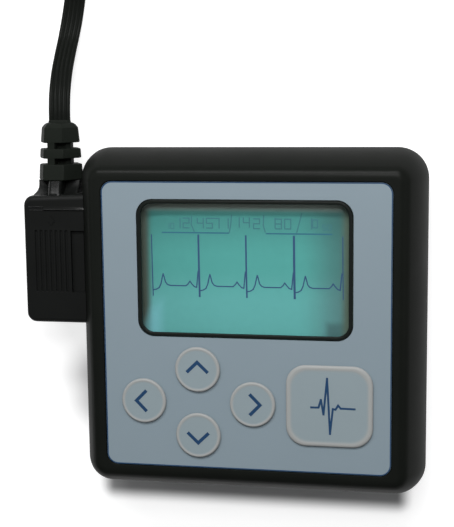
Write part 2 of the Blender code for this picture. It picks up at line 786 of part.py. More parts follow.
def make_key(name, centre, outline, rim_width):
    """Cap over the panel, neck through it, flange under the shell, stem to the dome."""
    flange_top = FRONT_CEILING - GAP
    flange_low = flange_top - KEY_FLANGE_THICKNESS
    lip = KEY_OVERHANG - KEY_FLANGE_LIP
    soft_edge = KEY_CAP_THICKNESS / 3
    dish = CAP_TOP - KEY_DISH
    rim = outline(centre, 0.0)
    first = math.atan2(rim[0][1] - centre[1], rim[0][0] - centre[0])
    stem = [
        (centre[0] + KEY_STEM_RADIUS * math.cos(angle), centre[1] + KEY_STEM_RADIUS * math.sin(angle))
        for angle in [first + 2 * math.pi * side / len(rim) for side in range(len(rim))]
    ]
    rings = [
        ring_at(stem, STEM_BOTTOM),
        ring_at(stem, flange_low),
        ring_at(outline(centre, lip), flange_low),
        ring_at(outline(centre, lip), flange_top),
        ring_at(outline(centre, KEY_OVERHANG), flange_top),
        ring_at(outline(centre, KEY_OVERHANG), CAP_BOTTOM),
        ring_at(rim, CAP_BOTTOM),
        ring_at(rim, CAP_TOP - soft_edge),
        ring_at(outline(centre, soft_edge), CAP_TOP),
        ring_at(outline(centre, rim_width), CAP_TOP),
        ring_at(outline(centre, rim_width + KEY_DISH), dish),
    ]
    return loft_object(name, rings, KEY_GREY, (*centre, CAP_BOTTOM))


def make_domes():
    """Five tactile domes on one film."""
    low = BOARD_TOP + GAP
    film_top = low + DOME_FILM_THICKNESS
    reach = DOME_RADIUS + DOME_FILM_MARGIN
    left = KEYPAD_X - KEY_REACH_X - reach
    right = EVENT_X + reach
    bottom = KEYPAD_Y - KEY_REACH_Y - reach
    top = KEYPAD_Y + KEY_REACH_Y + reach
    film = box_object("dome_sheet", (left, bottom, low), (right, top, film_top), SPRING_STEEL)
    mesh = bmesh.new()
    for _, centre, _, _ in all_keys():
        rings = [ring_at(circle_outline(DOME_RADIUS, ROUND_SIDES, centre), low + DOME_FILM_THICKNESS / 2)]
        for radius_share, height_share in DOME_SHARES:
            outline = circle_outline(DOME_RADIUS * radius_share, ROUND_SIDES, centre)
            rings.append(ring_at(outline, film_top + DOME_HEIGHT * height_share))
        add_loft(mesh, rings)
    join_shape(film, finish_object("domes", mesh, None))


def make_board():
    half_x, half_y, corner = BOARD_WIDTH / 2, BOARD_DEPTH / 2, BOARD_CORNER_CUT
    outline = (
        (half_x, -half_y + corner), (half_x, half_y - corner),
        (half_x - corner, half_y), (-half_x + corner, half_y),
        (-half_x, half_y - corner), (-half_x, -half_y + corner),
        (-half_x + corner, -half_y), (half_x - corner, -half_y),
    )
    loft_object("main_board", [ring_at(outline, BOARD_BOTTOM), ring_at(outline, BOARD_TOP)], BOARD_GREEN)
    top = BOARD_BOTTOM - GAP
    for name, *shares, height_share in CHIP_SHARES:
        x, y, width, depth = (BOARD_WIDTH * share for share in shares)
        low = (x - width / 2, y - depth / 2, top - BOARD_THICKNESS * height_share)
        box_object(name, low, (x + width / 2, y + depth / 2, top), CHIP_BLACK)

    low = top - BEEPER_HEIGHT
    place = (half_x - BEEPER_FROM_SIDE, half_y - BEEPER_FROM_END)
    wide = circle_outline(BEEPER_RADIUS, ROUND_SIDES, place)
    hole = circle_outline(BEEPER_HOLE_RADIUS, ROUND_SIDES, place)
    loft_object("beeper", [
        ring_at(hole, low + BEEPER_HOLE_DEPTH), ring_at(hole, low), ring_at(wide, low), ring_at(wide, top),
    ], CHIP_BLACK)
    mesh = bmesh.new()
    place = (BACKUP_X, half_y - BACKUP_FROM_END)
    add_post(mesh, place, BACKUP_RADIUS, top - BACKUP_HEIGHT, top, CELL_SIDES)
    finish_object("backup_cell", mesh, SPRING_STEEL)


def cell_ring(radius, x):
    """A ring of the cell, square to X."""
    return [
        Vector((x, CELL_Y + radius * math.cos(angle), CELL_Z + radius * math.sin(angle)))
        for angle in [2 * math.pi * side / CELL_SIDES for side in range(CELL_SIDES)]
    ]


def make_cell():
    left = -BAY_HALF_LENGTH + SPRING_LENGTH + GAP
    right = left + CELL_LENGTH
    loft_object("battery_cell", [
        cell_ring(CELL_RADIUS - CELL_EDGE, left),
        cell_ring(CELL_RADIUS, left + CELL_EDGE),
        cell_ring(CELL_RADIUS, right - CELL_EDGE),
        cell_ring(CELL_RADIUS - CELL_EDGE, right),
        cell_ring(CELL_NUB_RADIUS, right),
        cell_ring(CELL_NUB_RADIUS, right + CELL_NUB_LENGTH),
    ], CELL_SLEEVE)
    plate_x = right + CELL_NUB_LENGTH + GAP
    box_object(
        "battery_contact",
        (plate_x, CELL_Y - CONTACT_WIDTH / 2, CELL_Z - CONTACT_DEPTH / 2),
        (plate_x + CONTACT_THICKNESS, CELL_Y + CONTACT_WIDTH / 2, CELL_Z + CONTACT_DEPTH / 2),
        SPRING_STEEL,
    )

    curve = bpy.data.curves.new("battery_spring", "CURVE")
    curve.dimensions = "3D"
    curve.bevel_depth = SPRING_WIRE_RADIUS
    curve.bevel_resolution = 1
    curve.use_fill_caps = True
    count = SPRING_CURLS * SPRING_POINTS
    spline = curve.splines.new("POLY")
    spline.points.add(count)
    start = -BAY_HALF_LENGTH + GAP + SPRING_WIRE_RADIUS
    run = SPRING_LENGTH - GAP - 2 * SPRING_WIRE_RADIUS
    for index, point in enumerate(spline.points):
        share = index / count
        angle = 2 * math.pi * SPRING_CURLS * share
        radius = SPRING_LARGE_RADIUS + (SPRING_SMALL_RADIUS - SPRING_LARGE_RADIUS) * share
        point.co = (
            start + run * share,
            CELL_Y + radius * math.cos(angle),
            CELL_Z + radius * math.sin(angle),
            1.0,
        )
    spring = bpy.data.objects.new("battery_spring", curve)
    curve.materials.append(SPRING_STEEL)
    bpy.context.collection.objects.link(spring)


def door_half_width(part):
    """Half widths of the door's outer face and of its inner flange."""
    return BAY_HALF_LENGTH + (DOOR_LIP if part == "flange" else 0.0)


def door_solid(name, growth):
    """The door's two layers as one cutter, grown all round by growth."""
    mesh = bmesh.new()
    far = -CASE_DEPTH / 2 - CUT_OVERRUN
    near = DOOR_INNER_Y + growth
    outline_low = door_half_width("face") + growth
    outline_high = door_half_width("flange") + growth
    lip_top = DOOR_LIP_HEIGHT + GAP - growth
    top = DOOR_THICKNESS + growth
    side = [
        (-outline_low, -CUT_OVERRUN), (outline_low, -CUT_OVERRUN), (outline_low, lip_top),
        (outline_high, lip_top), (outline_high, top), (-outline_high, top),
        (-outline_high, lip_top), (-outline_low, lip_top),
    ]
    add_loft(mesh, [
        [Vector((x, near, z)) for x, z in side],
        [Vector((x, far, z)) for x, z in side],
    ])
    return finish_object(name, mesh, None, smooth=False)


def make_rear_shell():
    shell = case_half("rear_shell", -1, CASE_BLACK)
    trim = box_object(
        "parting_trim",
        (-CASE_WIDTH, -CASE_DEPTH, PARTING_HEIGHT - PARTING_GAP),
        (CASE_WIDTH, CASE_DEPTH, CASE_HEIGHT),
        None,
    )
    cut(shell, cavity_half("rear_cavity", -1, CASE_WALL))
    cut(shell, trim)

    outer_x, outer_y = BAY_HALF_LENGTH + BAY_WALL, BAY_HALF_DEPTH + BAY_WALL
    join_shape(shell, box_object(
        "bay_block",
        (-outer_x, CELL_Y - outer_y, CASE_WALL / 2),
        (outer_x, CELL_Y + outer_y, BAY_TOP + BAY_ROOF),
        None,
    ))
    mesh = bmesh.new()
    for centre in screw_places():
        add_post(mesh, centre, COLUMN_RADIUS, CASE_WALL / 2, COLUMN_TOP)
    join_shape(shell, finish_object("rear_columns", mesh, None))
    cut(shell, box_object(
        "bay_hollow",
        (-BAY_HALF_LENGTH, CELL_Y - BAY_HALF_DEPTH, -CUT_OVERRUN),
        (BAY_HALF_LENGTH, CELL_Y + BAY_HALF_DEPTH, BAY_TOP),
        None,
    ))
    cut(shell, door_solid("door_way", GAP))
    mesh = bmesh.new()
    for centre in screw_places():
        seat = circle_outline(SCREW_HEAD_RADIUS + GAP, ROUND_SIDES, centre)
        bore = circle_outline(SCREW_BORE_RADIUS, ROUND_SIDES, centre)
        add_loft(mesh, [
            ring_at(seat, -CUT_OVERRUN), ring_at(seat, SCREW_SEAT_DEPTH),
            ring_at(bore, SCREW_SEAT_DEPTH), ring_at(bore, COLUMN_TOP + CUT_OVERRUN),
        ])
    cut(shell, finish_object("screw_bores", mesh, None))
    port_low = PLUG_Z - SHIELD_HEIGHT / 2 - PORT_MARGIN
    cut(shell, port_box("rear_port", port_low, PARTING_HEIGHT + CUT_OVERRUN))
    return shell


def make_door():
    """The door's outer face is a piece of the case's own back."""
    door = case_half("battery_door", -1, CASE_BLACK)
    combine(door, door_solid("door_shape", 0.0), "INTERSECT")
    mesh = bmesh.new()
    for index in range(DOOR_GRIP_COUNT):
        y = CELL_Y + (index - (DOOR_GRIP_COUNT - 1) / 2) * DOOR_GRIP_PITCH
        add_box(
            mesh,
            (-DOOR_GRIP_LENGTH / 2, y - DOOR_GRIP_WIDTH / 2, -CUT_OVERRUN),
            (DOOR_GRIP_LENGTH / 2, y + DOOR_GRIP_WIDTH / 2, DOOR_GRIP_DEPTH),
        )
    cut(door, finish_object("door_grip", mesh, None, smooth=False))


def make_fasteners():
    head_top = SCREW_SEAT_DEPTH - GAP
    insert_low = PARTING_HEIGHT + GAP
    for number, centre in enumerate(screw_places(), 1):
        head = circle_outline(SCREW_HEAD_RADIUS, ROUND_SIDES, centre)
        shank = circle_outline(SCREW_SHANK_RADIUS, ROUND_SIDES, centre)
        loft_object(f"case_screw_{number}", [
            ring_at(head, head_top - SCREW_HEAD_HEIGHT), ring_at(head, head_top),
            ring_at(shank, head_top), ring_at(shank, BORE_TOP - SCREW_TIP_CLEARANCE),
        ], SCREW_STEEL)
        sleeve_object(
            f"threaded_insert_{number}", centre, (INSERT_RADIUS, SCREW_BORE_RADIUS),
            (insert_low, insert_low + INSERT_LENGTH), INSERT_BRASS,
        )


def plug_level(depth):
    """Outline of the plug's housing at a depth below its front or back face."""
    def round_over(radius):
        if depth >= radius:
            return 0.0
        return radius - math.sqrt(radius ** 2 - (radius - depth) ** 2)

    edge = round_over(PLUG_EDGE_RADIUS)
    shoulder = round_over(PLUG_SHOULDER_RADIUS)
    left = PLUG_LEFT + edge
    right = -CASE_WIDTH / 2 + PLUG_CASE_REACH
    bottom, top = PLUG_BOTTOM + edge, PLUG_TOP - shoulder
    return rounded_outline(
        right - left, top - bottom, PLUG_CORNER_RADIUS, CORNER_STEPS,
        ((left + right) / 2, (top + bottom) / 2),
    )


def section_ring(y, width, height, radius, steps=4):
    """A rounded section square to Y, round the boot's axis."""
    outline = rounded_outline(width, height, radius, steps)
    return [Vector((BOOT_X - x, y, PLUG_Z + z)) for x, z in outline]


def make_plug():
    half = PLUG_THICKNESS / 2
    levels = [PLUG_EDGE_RADIUS * share for share in PLUG_EDGE_SHARES]
    levels += [(PLUG_EDGE_RADIUS + PLUG_SHOULDER_RADIUS) / 2, PLUG_SHOULDER_RADIUS]
    rings = [ring_at(plug_level(depth), PLUG_Z - half + depth) for depth in levels]
    rings += [ring_at(plug_level(depth), PLUG_Z + half - depth) for depth in reversed(levels)]
    housing = loft_object("plug_housing", rings, PLUG_BLACK)

    neck = [
        section_ring(PLUG_TOP - NECK_ROOT, NECK_WIDTH + 2 * NECK_FLARE, NECK_HEIGHT + NECK_FLARE, BOOT_CORNER_RADIUS),
        section_ring(PLUG_TOP - NECK_FLARE / 2, NECK_WIDTH + NECK_FLARE, NECK_HEIGHT + NECK_FLARE / 2,
                     BOOT_CORNER_RADIUS),
        section_ring(PLUG_TOP + NECK_FLARE / 4, NECK_WIDTH + NECK_FLARE / 3, NECK_HEIGHT, BOOT_CORNER_RADIUS),
        section_ring(BOOT_Y - GAP, NECK_WIDTH, NECK_HEIGHT, BOOT_CORNER_RADIUS),
    ]
    join_shape(housing, loft_object("plug_neck", neck, None))

    for name, rise in (("case_front_clear", 1), ("case_rear_clear", -1)):
        cut(housing, case_half(name, rise, None, GAP))

    mesh = bmesh.new()
    front = PLUG_Z + half
    groove_low = PLUG_BOTTOM + PLUG_GROOVE_BOTTOM_MARGIN
    groove_high = PLUG_TOP - PLUG_GROOVE_TOP_MARGIN
    for index in range(PLUG_GROOVE_COUNT):
        x = PLUG_LEFT + PLUG_GROOVE_MARGIN + index * PLUG_GROOVE_PITCH
        add_box(
            mesh,
            (x - PLUG_GROOVE_WIDTH / 2, groove_low, front - PLUG_GROOVE_DEPTH),
            (x + PLUG_GROOVE_WIDTH / 2, groove_high, front + CUT_OVERRUN),
        )
    pocket_left = -CASE_WIDTH / 2 - PLUG_POCKET_REACH
    add_box(
        mesh,
        (pocket_left, groove_low, front - PLUG_POCKET_DEPTH),
        (pocket_left + PLUG_CASE_REACH, groove_high, front + CUT_OVERRUN),
    )
    cut(housing, finish_object("plug_grip", mesh, None, smooth=False))
    return housing


def shield_ring(x, depth, height):
    middle = plug_middle()
    half_y, half_z = depth / 2, height / 2
    return [
        Vector((x, middle + sy * half_y, PLUG_Z + sz * half_z))
        for sy, sz in ((1, 1), (-1, 1), (-1, -1), (1, -1))
    ]


def shield_start():
    return side_inset(SHIELD_HEIGHT / 2) - CASE_WIDTH / 2


def make_plug_inside():
    start = shield_start()
    end = start + SHIELD_LENGTH
    inner_depth, inner_height = SHIELD_DEPTH - 2 * SHIELD_WALL, SHIELD_HEIGHT - 2 * SHIELD_WALL
    mesh = bmesh.new()
    add_tube_ring(mesh, [
        shield_ring(start, SHIELD_DEPTH, SHIELD_HEIGHT),
        shield_ring(end, SHIELD_DEPTH, SHIELD_HEIGHT),
        shield_ring(end, inner_depth, inner_height),
        shield_ring(start, inner_depth, inner_height),
    ])
    finish_object("plug_shield", mesh, SPRING_STEEL, smooth=False)
    tongue_depth = inner_depth - 2 * TONGUE_SIDE_GAP
    tongue_end = end - TONGUE_SHORTER
    tongue = loft_object("plug_tongue", [
        shield_ring(start, tongue_depth, TONGUE_THICKNESS),
        shield_ring(tongue_end, tongue_depth, TONGUE_THICKNESS),
    ], CHIP_BLACK)
    mesh = bmesh.new()
    for sign in (-1, 1):
        near = PLUG_Z + sign * TONGUE_THICKNESS / 4
        low, high = sorted((near, PLUG_Z + sign * (TONGUE_THICKNESS / 2 + PLUG_PIN_THICKNESS)))
        for index in range(PLUG_PIN_COUNT):
            y = plug_middle() + (index - (PLUG_PIN_COUNT - 1) / 2) * PLUG_PIN_PITCH
            add_box(
                mesh,
                (start, y - PLUG_PIN_WIDTH / 2, low),
                (tongue_end - TONGUE_SHORTER, y + PLUG_PIN_WIDTH / 2, high),
            )
    join_shape(tongue, finish_object("plug_contacts", mesh, INSERT_BRASS, smooth=False))


def make_socket():
    """A receptacle hung under the board, open towards the case's left wall."""
    mouth_depth = SHIELD_DEPTH + 2 * SOCKET_MOUTH_GAP
    mouth_height = SHIELD_HEIGHT + 2 * SOCKET_MOUTH_GAP
    back = shield_start() + SHIELD_LENGTH + GAP
    outer_back = back + SOCKET_BACK_WALL
    top = BOARD_BOTTOM - GAP
    low = PLUG_Z - mouth_height / 2 - SOCKET_WALL
    half_y = mouth_depth / 2 + SOCKET_WALL
    middle = plug_middle()
    socket = box_object(
        "lead_socket",
        (socket_front(), middle - half_y, low),
        (outer_back, middle + half_y, top),
        CHIP_BLACK,
    )
    cut(socket, box_object(
        "socket_mouth",
        (socket_front() - CUT_OVERRUN, middle - mouth_depth / 2, PLUG_Z - mouth_height / 2),
        (back, middle + mouth_depth / 2, PLUG_Z + mouth_height / 2),
        None,
    ))
    pin_left = outer_back + GAP
    pin_right = pin_left + SOCKET_PIN_LENGTH
    reach = (PLUG_PIN_COUNT - 1) / 2 * PLUG_PIN_PITCH + PLUG_PIN_WIDTH / 2
    pins = box_object(
        "socket_pins",
        (pin_left, middle - reach, PLUG_Z - PLUG_PIN_THICKNESS),
        (pin_right, middle + reach, PLUG_Z + PLUG_PIN_THICKNESS),
        INSERT_BRASS,
    )
    mesh = bmesh.new()
    for index in range(PLUG_PIN_COUNT):
        y = middle + (index - (PLUG_PIN_COUNT - 1) / 2) * PLUG_PIN_PITCH
        add_box(
            mesh,
            (pin_right - PLUG_PIN_THICKNESS, y - PLUG_PIN_WIDTH / 2, PLUG_Z),
            (pin_right, y + PLUG_PIN_WIDTH / 2, top),
        )
    join_shape(pins, finish_object("socket_pin_legs", mesh, None, smooth=False))


def make_boot():
    """The notched strain relief, from the plug's neck to the ribbon."""
    notch_mid = (NOTCH_LOW_Y + NOTCH_HIGH_Y) / 2
    sections = (
        (BOOT_Y, BOOT_LOW_WIDTH, BOOT_LOW_HEIGHT, BOOT_CORNER_RADIUS),
        (NOTCH_LOW_Y, BOOT_MID_WIDTH, BOOT_MID_HEIGHT, BOOT_CORNER_RADIUS),
        (notch_mid, BOOT_RING_WIDTH, BOOT_MID_HEIGHT, BOOT_CORNER_RADIUS),
        (NOTCH_HIGH_Y + NOTCH_WIDTH, BOOT_HIGH_WIDTH, BOOT_HIGH_HEIGHT, BOOT_CORNER_RADIUS),
        (BOOT_END_Y - BOOT_SHOULDER, BOOT_HIGH_WIDTH - BOOT_SHOULDER / 4, BOOT_HIGH_HEIGHT, BOOT_CORNER_RADIUS),
        (BOOT_END_Y - BOOT_SHOULDER / 4, (BOOT_HIGH_WIDTH + BOOT_END_WIDTH) / 2, BOOT_END_HEIGHT,
         BOOT_CORNER_RADIUS),
        (BOOT_END_Y, BOOT_END_WIDTH, BOOT_END_HEIGHT - BOOT_SHOULDER / 2, BOOT_CORNER_RADIUS / 2),
    )
    boot = loft_object("cord_boot", [section_ring(*section) for section in sections], BOOT_BLACK)
    wide = BOOT_LOW_WIDTH
    tall = BOOT_LOW_HEIGHT
    reach = NOTCH_CORE_WIDTH / 2
    sides = bmesh.new()
    faces = bmesh.new()
    for start in (NOTCH_LOW_Y, NOTCH_HIGH_Y):
        end = start + NOTCH_WIDTH
        for sign in (-1, 1):
            side = sorted((BOOT_X + sign * reach, BOOT_X + sign * wide))
            add_box(sides, (side[0], start, PLUG_Z - tall), (side[1], end, PLUG_Z + tall))
            face = sorted((PLUG_Z + sign * NOTCH_CORE_HEIGHT / 2, PLUG_Z + sign * tall))
            slot = sorted((BOOT_X - sign * (reach - NOTCH_POST), BOOT_X + sign * wide))
            add_box(faces, (slot[0], start, face[0]), (slot[1], end, face[1]))
    cut(boot, finish_object("boot_side_notches", sides, None, smooth=False))
    cut(boot, finish_object("boot_face_notches", faces, None, smooth=False))


def smooth_path(points, count):
    """Even points on a Catmull-Rom curve through hand-placed ones."""
    def sample(index, share):
        last = len(points) - 1
        a, b = points[max(index - 1, 0)], points[index]
        c, d = points[min(index + 1, last)], points[min(index + 2, last)]
        return [
            0.5 * (2 * q + (r - p) * share + (2 * p - 5 * q + 4 * r - s) * share ** 2
                   + (3 * q - p - 3 * r + s) * share ** 3)
            for p, q, r, s in zip(a, b, c, d)
        ]

    fine = [
        sample(index, step / PATH_SAMPLES)
        for index in range(len(points) - 1)
        for step in range(PATH_SAMPLES)
    ]
    fine.append(list(points[-1]))
    lengths = [0.0]
    for before, after in zip(fine, fine[1:]):
        lengths.append(lengths[-1] + math.dist(before[:3], after[:3]))
    even, place = [], 0
    for step in range(count + 1):
        wanted = lengths[-1] * step / count
        while place < len(lengths) - 2 and lengths[place + 1] < wanted:
            place += 1
        span = lengths[place + 1] - lengths[place]
        share = (wanted - lengths[place]) / span
        even.append([u + (v - u) * share for u, v in zip(fine[place], fine[place + 1])])
    return even


def path_length(points):
    return sum(math.dist(a[:3], b[:3]) for a, b in zip(points, points[1:]))


def ribbon_section():
    """Points across the ribbon: along its width, and through its thickness."""
    half, thick = RIBBON_WIDTH / 2, WIRE_DIAMETER / 2
    flat = half - thick * RIBBON_EDGE_SHARE
    return ((half, 0.0), (flat, thick), (-flat, thick), (-half, 0.0), (-flat, -thick), (flat, -thick))


def sweep_ribbon(name, points, widths):
    """A ribbon whose width lies along the given direction at each point."""
    rings = []
    for index, (point, wide) in enumerate(zip(points, widths)):
        before = Vector(points[max(index - 1, 0)][:3])
        after = Vector(points[min(index + 1, len(points) - 1)][:3])
        along = (after - before).normalized()
        wide = (wide - along * wide.dot(along)).normalized()
        through = along.cross(wide)
        centre = Vector(point[:3])
        rings.append([centre + wide * u + through * v for u, v in ribbon_section()])
    return loft_object(name, rings, CORD_BLACK)


def smooth_share(share):
    share = min(max(share, 0.0), 1.0)
    return share * share * (3 - 2 * share)


def coil_radius(travel):
    return COIL_OUTER_RADIUS - COIL_PITCH * travel / (2 * math.pi)


def hump(angle):
    """How far the coil's turns rise over the tie, as a share."""
    apart = abs(math.remainder(angle - COIL_HUMP_ANGLE, 2 * math.pi))
    return 1.0 - smooth_share((apart - COIL_HUMP_FLAT) / (COIL_HUMP_SPREAD - COIL_HUMP_FLAT))


def coil_point(travel):
    """The ribbon's middle after turning clockwise by travel from the coil's left."""
    angle = math.pi - travel
    radius = coil_radius(travel)
    height = RIBBON_STAND + (TIE_RAISE - FLOOR_LIFT) * hump(angle)
    return Vector((COIL_X + radius * math.cos(angle), COIL_Y + radius * math.sin(angle), height))


def coil_path():
    total = COIL_TURNS * 2 * math.pi
    steps = round(COIL_TURNS * COIL_POINTS_PER_TURN)
    gap_travel = GAP / COIL_OUTER_RADIUS
    return [coil_point(gap_travel + (total - gap_travel) * step / steps) for step in range(steps + 1)]


def least_turn_gap(points):
    """Least distance between the faces of neighbouring turns."""
    turn = COIL_POINTS_PER_TURN
    nearest = min(
        (points[i] - points[j]).length
        for i in range(len(points))
        for j in range(i + turn // 2, len(points))
    )
    return nearest - WIRE_DIAMETER


def make_cord():
    route = smooth_path(RIBBON_ROUTE, RIBBON_STEPS)
    widths = [
        Vector((math.cos(twist * math.pi / 2), 0.0, math.sin(twist * math.pi / 2)))
        for _, _, _, twist in route
    ]
    sweep_ribbon("cord_ribbon", route, widths)
    coil = coil_path()
    sweep_ribbon("cord_coil", coil, [Vector((0.0, 0.0, 1.0))] * len(coil))
    print("ribbon free stretch", round(path_length(route), 4), "m")
    print("ribbon coil", round(path_length(coil), 4), "m")
    print("coil's least gap to itself", round(least_turn_gap(coil) * 1000, 3), "mm")


def make_tie():
    """A band round all the turns, on the coil's right side."""
    travels = [math.pi - COIL_HUMP_ANGLE + 2 * math.pi * turn for turn in range(int(COIL_TURNS) + 1)]
    radii = [coil_radius(travel) for travel in travels if travel < COIL_TURNS * 2 * math.pi]
    least = min(radii) - WIRE_DIAMETER / 2
    inner = math.sqrt(least ** 2 - (TIE_WIDTH / 2) ** 2) - GAP
    outer = max(radii) + WIRE_DIAMETER / 2 + GAP
    low, high = TIE_RAISE - GAP, TIE_RAISE + RIBBON_WIDTH + GAP
    out = TIE_THICKNESS
    across = (
        (inner - out, low - out, inner, low), (outer + out, low - out, outer, low),
        (outer + out, high + out, outer, high), (inner - out, high + out, inner, high),
    )
    rings = [[], [], [], []]
    for far_x, far_z, near_x, near_z in across:
        for ring, (x, z, side) in zip(rings, (
            (far_x, far_z, -1), (far_x, far_z, 1), (near_x, near_z, 1), (near_x, near_z, -1),
        )):
            ring.append(Vector((COIL_X + x, COIL_Y + side * TIE_WIDTH / 2, z)))
    mesh = bmesh.new()
    add_tube_ring(mesh, rings)
    finish_object("coil_tie", mesh, TIE_BLACK, smooth=False)


def coil_end_travel():
    return COIL_TURNS * 2 * math.pi


def yoke_exit_travel():
    return coil_end_travel() + (GAP + YOKE_LENGTH + GAP) / coil_radius(coil_end_travel())


def make_yoke():
    """A moulded block bent along the coil's inner turn."""
    start = coil_end_travel() + GAP / coil_radius(coil_end_travel())
    end = yoke_exit_travel() - GAP / coil_radius(coil_end_travel())
    radius = coil_radius(coil_end_travel()) - YOKE_SIDE_SHIFT
    top = FLOOR_LIFT + LEAD_DIAMETER + (WIRE_COUNT - 1) * LEAD_PITCH + YOKE_SIDE_SHIFT
    bevel = YOKE_WIDTH * YOKE_BEVEL_SHARE
    section = (
        (-YOKE_WIDTH / 2 + bevel, FLOOR_LIFT), (YOKE_WIDTH / 2 - bevel, FLOOR_LIFT),
        (YOKE_WIDTH / 2, FLOOR_LIFT + bevel), (YOKE_WIDTH / 2, top - bevel),
        (YOKE_WIDTH / 2 - bevel, top), (-YOKE_WIDTH / 2 + bevel, top),
        (-YOKE_WIDTH / 2, top - bevel), (-YOKE_WIDTH / 2, FLOOR_LIFT + bevel),
    )
    rings = []
    for step in range(YOKE_STEPS + 1):
        angle = math.pi - (start + (end - start) * step / YOKE_STEPS)
        rings.append([
            Vector((COIL_X + (radius + u) * math.cos(angle), COIL_Y + (radius + u) * math.sin(angle), z))
            for u, z in section
        ])
    loft_object("lead_yoke", rings, CORD_BLACK)


def snap_frame(index):
    """Centre of a snap connector, and the direction that its tail points in."""
    travel = yoke_exit_travel() + LEAD_FIRST_TRAVEL + LEAD_TRAVEL_STEP * index
    angle = math.pi - travel
    outward = Vector((math.cos(angle), math.sin(angle), 0.0))
    back = Vector((-math.sin(angle), math.cos(angle), 0.0))
    centre = Vector((COIL_X, COIL_Y, 0.0)) + outward * SNAP_CIRCLE
    tail = outward * math.cos(SNAP_TAIL_TILT) + back * math.sin(SNAP_TAIL_TILT)
    return centre, tail, travel


def lane_point(index, travel):
    """A lead wire's middle while it fans out of the yoke and runs along its lane."""
    yoke_radius = coil_radius(coil_end_travel()) - YOKE_SIDE_SHIFT
    apart = LEAD_PITCH * (WIRE_COUNT - 1 - index)
    share = smooth_share((travel - yoke_exit_travel()) / LEAD_FAN)
    fan = share * math.pi / 2
    level = LEAD_LANE_RADIUS + (yoke_radius - LEAD_LANE_RADIUS) * (1 - share)
    radius = level - apart * math.sin(fan)
    angle = math.pi - travel
    return Vector((
        COIL_X + radius * math.cos(angle),
        COIL_Y + radius * math.sin(angle),
        FLOOR_LIFT + LEAD_DIAMETER / 2 + apart * math.cos(fan),
    ))


def lead_path(index):
    """Middle line of a lead wire, from the yoke to its snap connector's tail.

    Wire 0 lies innermost, is the shortest and starts at the top of the stack.
    """
    start = yoke_exit_travel()
    centre, tail, travel_end = snap_frame(index)
    turn_start = travel_end - LEAD_TURN_IN
    points = [
        lane_point(index, start + (turn_start - start) * step / LEAD_LANE_POINTS)
        for step in range(LEAD_LANE_POINTS)
    ]
    leave = lane_point(index, turn_start)
    heading = (leave - points[-1]).normalized()
    end = centre + tail * (SNAP_RADIUS + SNAP_TAIL_LENGTH + GAP)
    end.z = FLOOR_LIFT + SNAP_TAIL_END_HEIGHT / 2
    pull = (end - leave).length * LEAD_PULL_SHARE
    for step in range(LEAD_TURN_POINTS + 1):
        share = step / LEAD_TURN_POINTS
        stay = 1 - share
        points.append(
            leave * stay ** 3
            + (leave + heading * pull) * (3 * stay * stay * share)
            + (end + tail * pull) * (3 * stay * share * share)
            + end * share ** 3
        )
    return [tuple(point) for point in points]


def make_leads():
    for index in range(WIRE_COUNT):
        name = f"lead_wire_{index + 1}"
        points = smooth_path(lead_path(index), LEAD_STEPS)
        curve = bpy.data.curves.new(name, "CURVE")
        curve.dimensions = "3D"
        curve.bevel_depth = LEAD_DIAMETER / 2
        curve.bevel_resolution = 2
        curve.use_fill_caps = True
        spline = curve.splines.new("POLY")
        spline.points.add(len(points) - 1)
        for target, place in zip(spline.points, points):
            target.co = (*place, 1.0)
        curve.materials.append(CORD_BLACK)
        bpy.context.collection.objects.link(bpy.data.objects.new(name, curve))
        print(name, round(path_length(points), 4), "m")


def make_snaps():
    for index in range(WIRE_COUNT):
        centre, tail, _ = snap_frame(index)
        middle = (centre.x, centre.y)
        low, high = FLOOR_LIFT, FLOOR_LIFT + SNAP_HEIGHT
        bore = circle_outline(SNAP_BORE_RADIUS, ROUND_SIDES, middle)
        wide = circle_outline(SNAP_RADIUS, ROUND_SIDES, middle)
        soft = circle_outline(SNAP_RADIUS - SNAP_EDGE, ROUND_SIDES, middle)
        body = loft_object(f"snap_{index + 1}", [
            ring_at(bore, low + SNAP_BORE_DEPTH), ring_at(bore, low), ring_at(soft, low),
            ring_at(wide, low + SNAP_EDGE), ring_at(wide, high - SNAP_EDGE), ring_at(soft, high),
        ], CORD_BLACK)
        side = Vector((-tail.y, tail.x, 0.0))
        near = centre + tail * (SNAP_RADIUS - SNAP_EDGE)
        far = centre + tail * (SNAP_RADIUS + SNAP_TAIL_LENGTH)
        rings = []
        for point, width, height in (
            (near, SNAP_TAIL_ROOT_WIDTH, SNAP_TAIL_ROOT_HEIGHT),
            (far, SNAP_TAIL_END_WIDTH, SNAP_TAIL_END_HEIGHT),
        ):
            outline = rounded_outline(width, height, height / 3, 2)
            rings.append([
                point + side * u + Vector((0.0, 0.0, low + height / 2 + v)) for u, v in outline
            ])
        join_shape(body, loft_object(f"snap_tail_{index + 1}", rings, None))
        sleeve_object(
            f"snap_eyelet_{index + 1}", middle, (EYELET_RADIUS, EYELET_BORE_RADIUS),
            (low, low + EYELET_HEIGHT), SPRING_STEEL,
        )


def main():
    clear_scene()
    make_front_shell()
    make_rear_shell()
    make_door()
    make_fasteners()
    make_panel()
    make_window()
    make_screen()
    for name, centre, outline, rim_width in all_keys():
        make_key(name, centre, outline, rim_width)
    make_domes()
    make_board()
    make_cell()
    make_plug()
    make_plug_inside()
    make_socket()
    make_boot()
    make_cord()
    make_tie()
    make_yoke()
    make_leads()
    make_snaps()
    bpy.context.view_layer.update()


main()
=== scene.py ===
import math

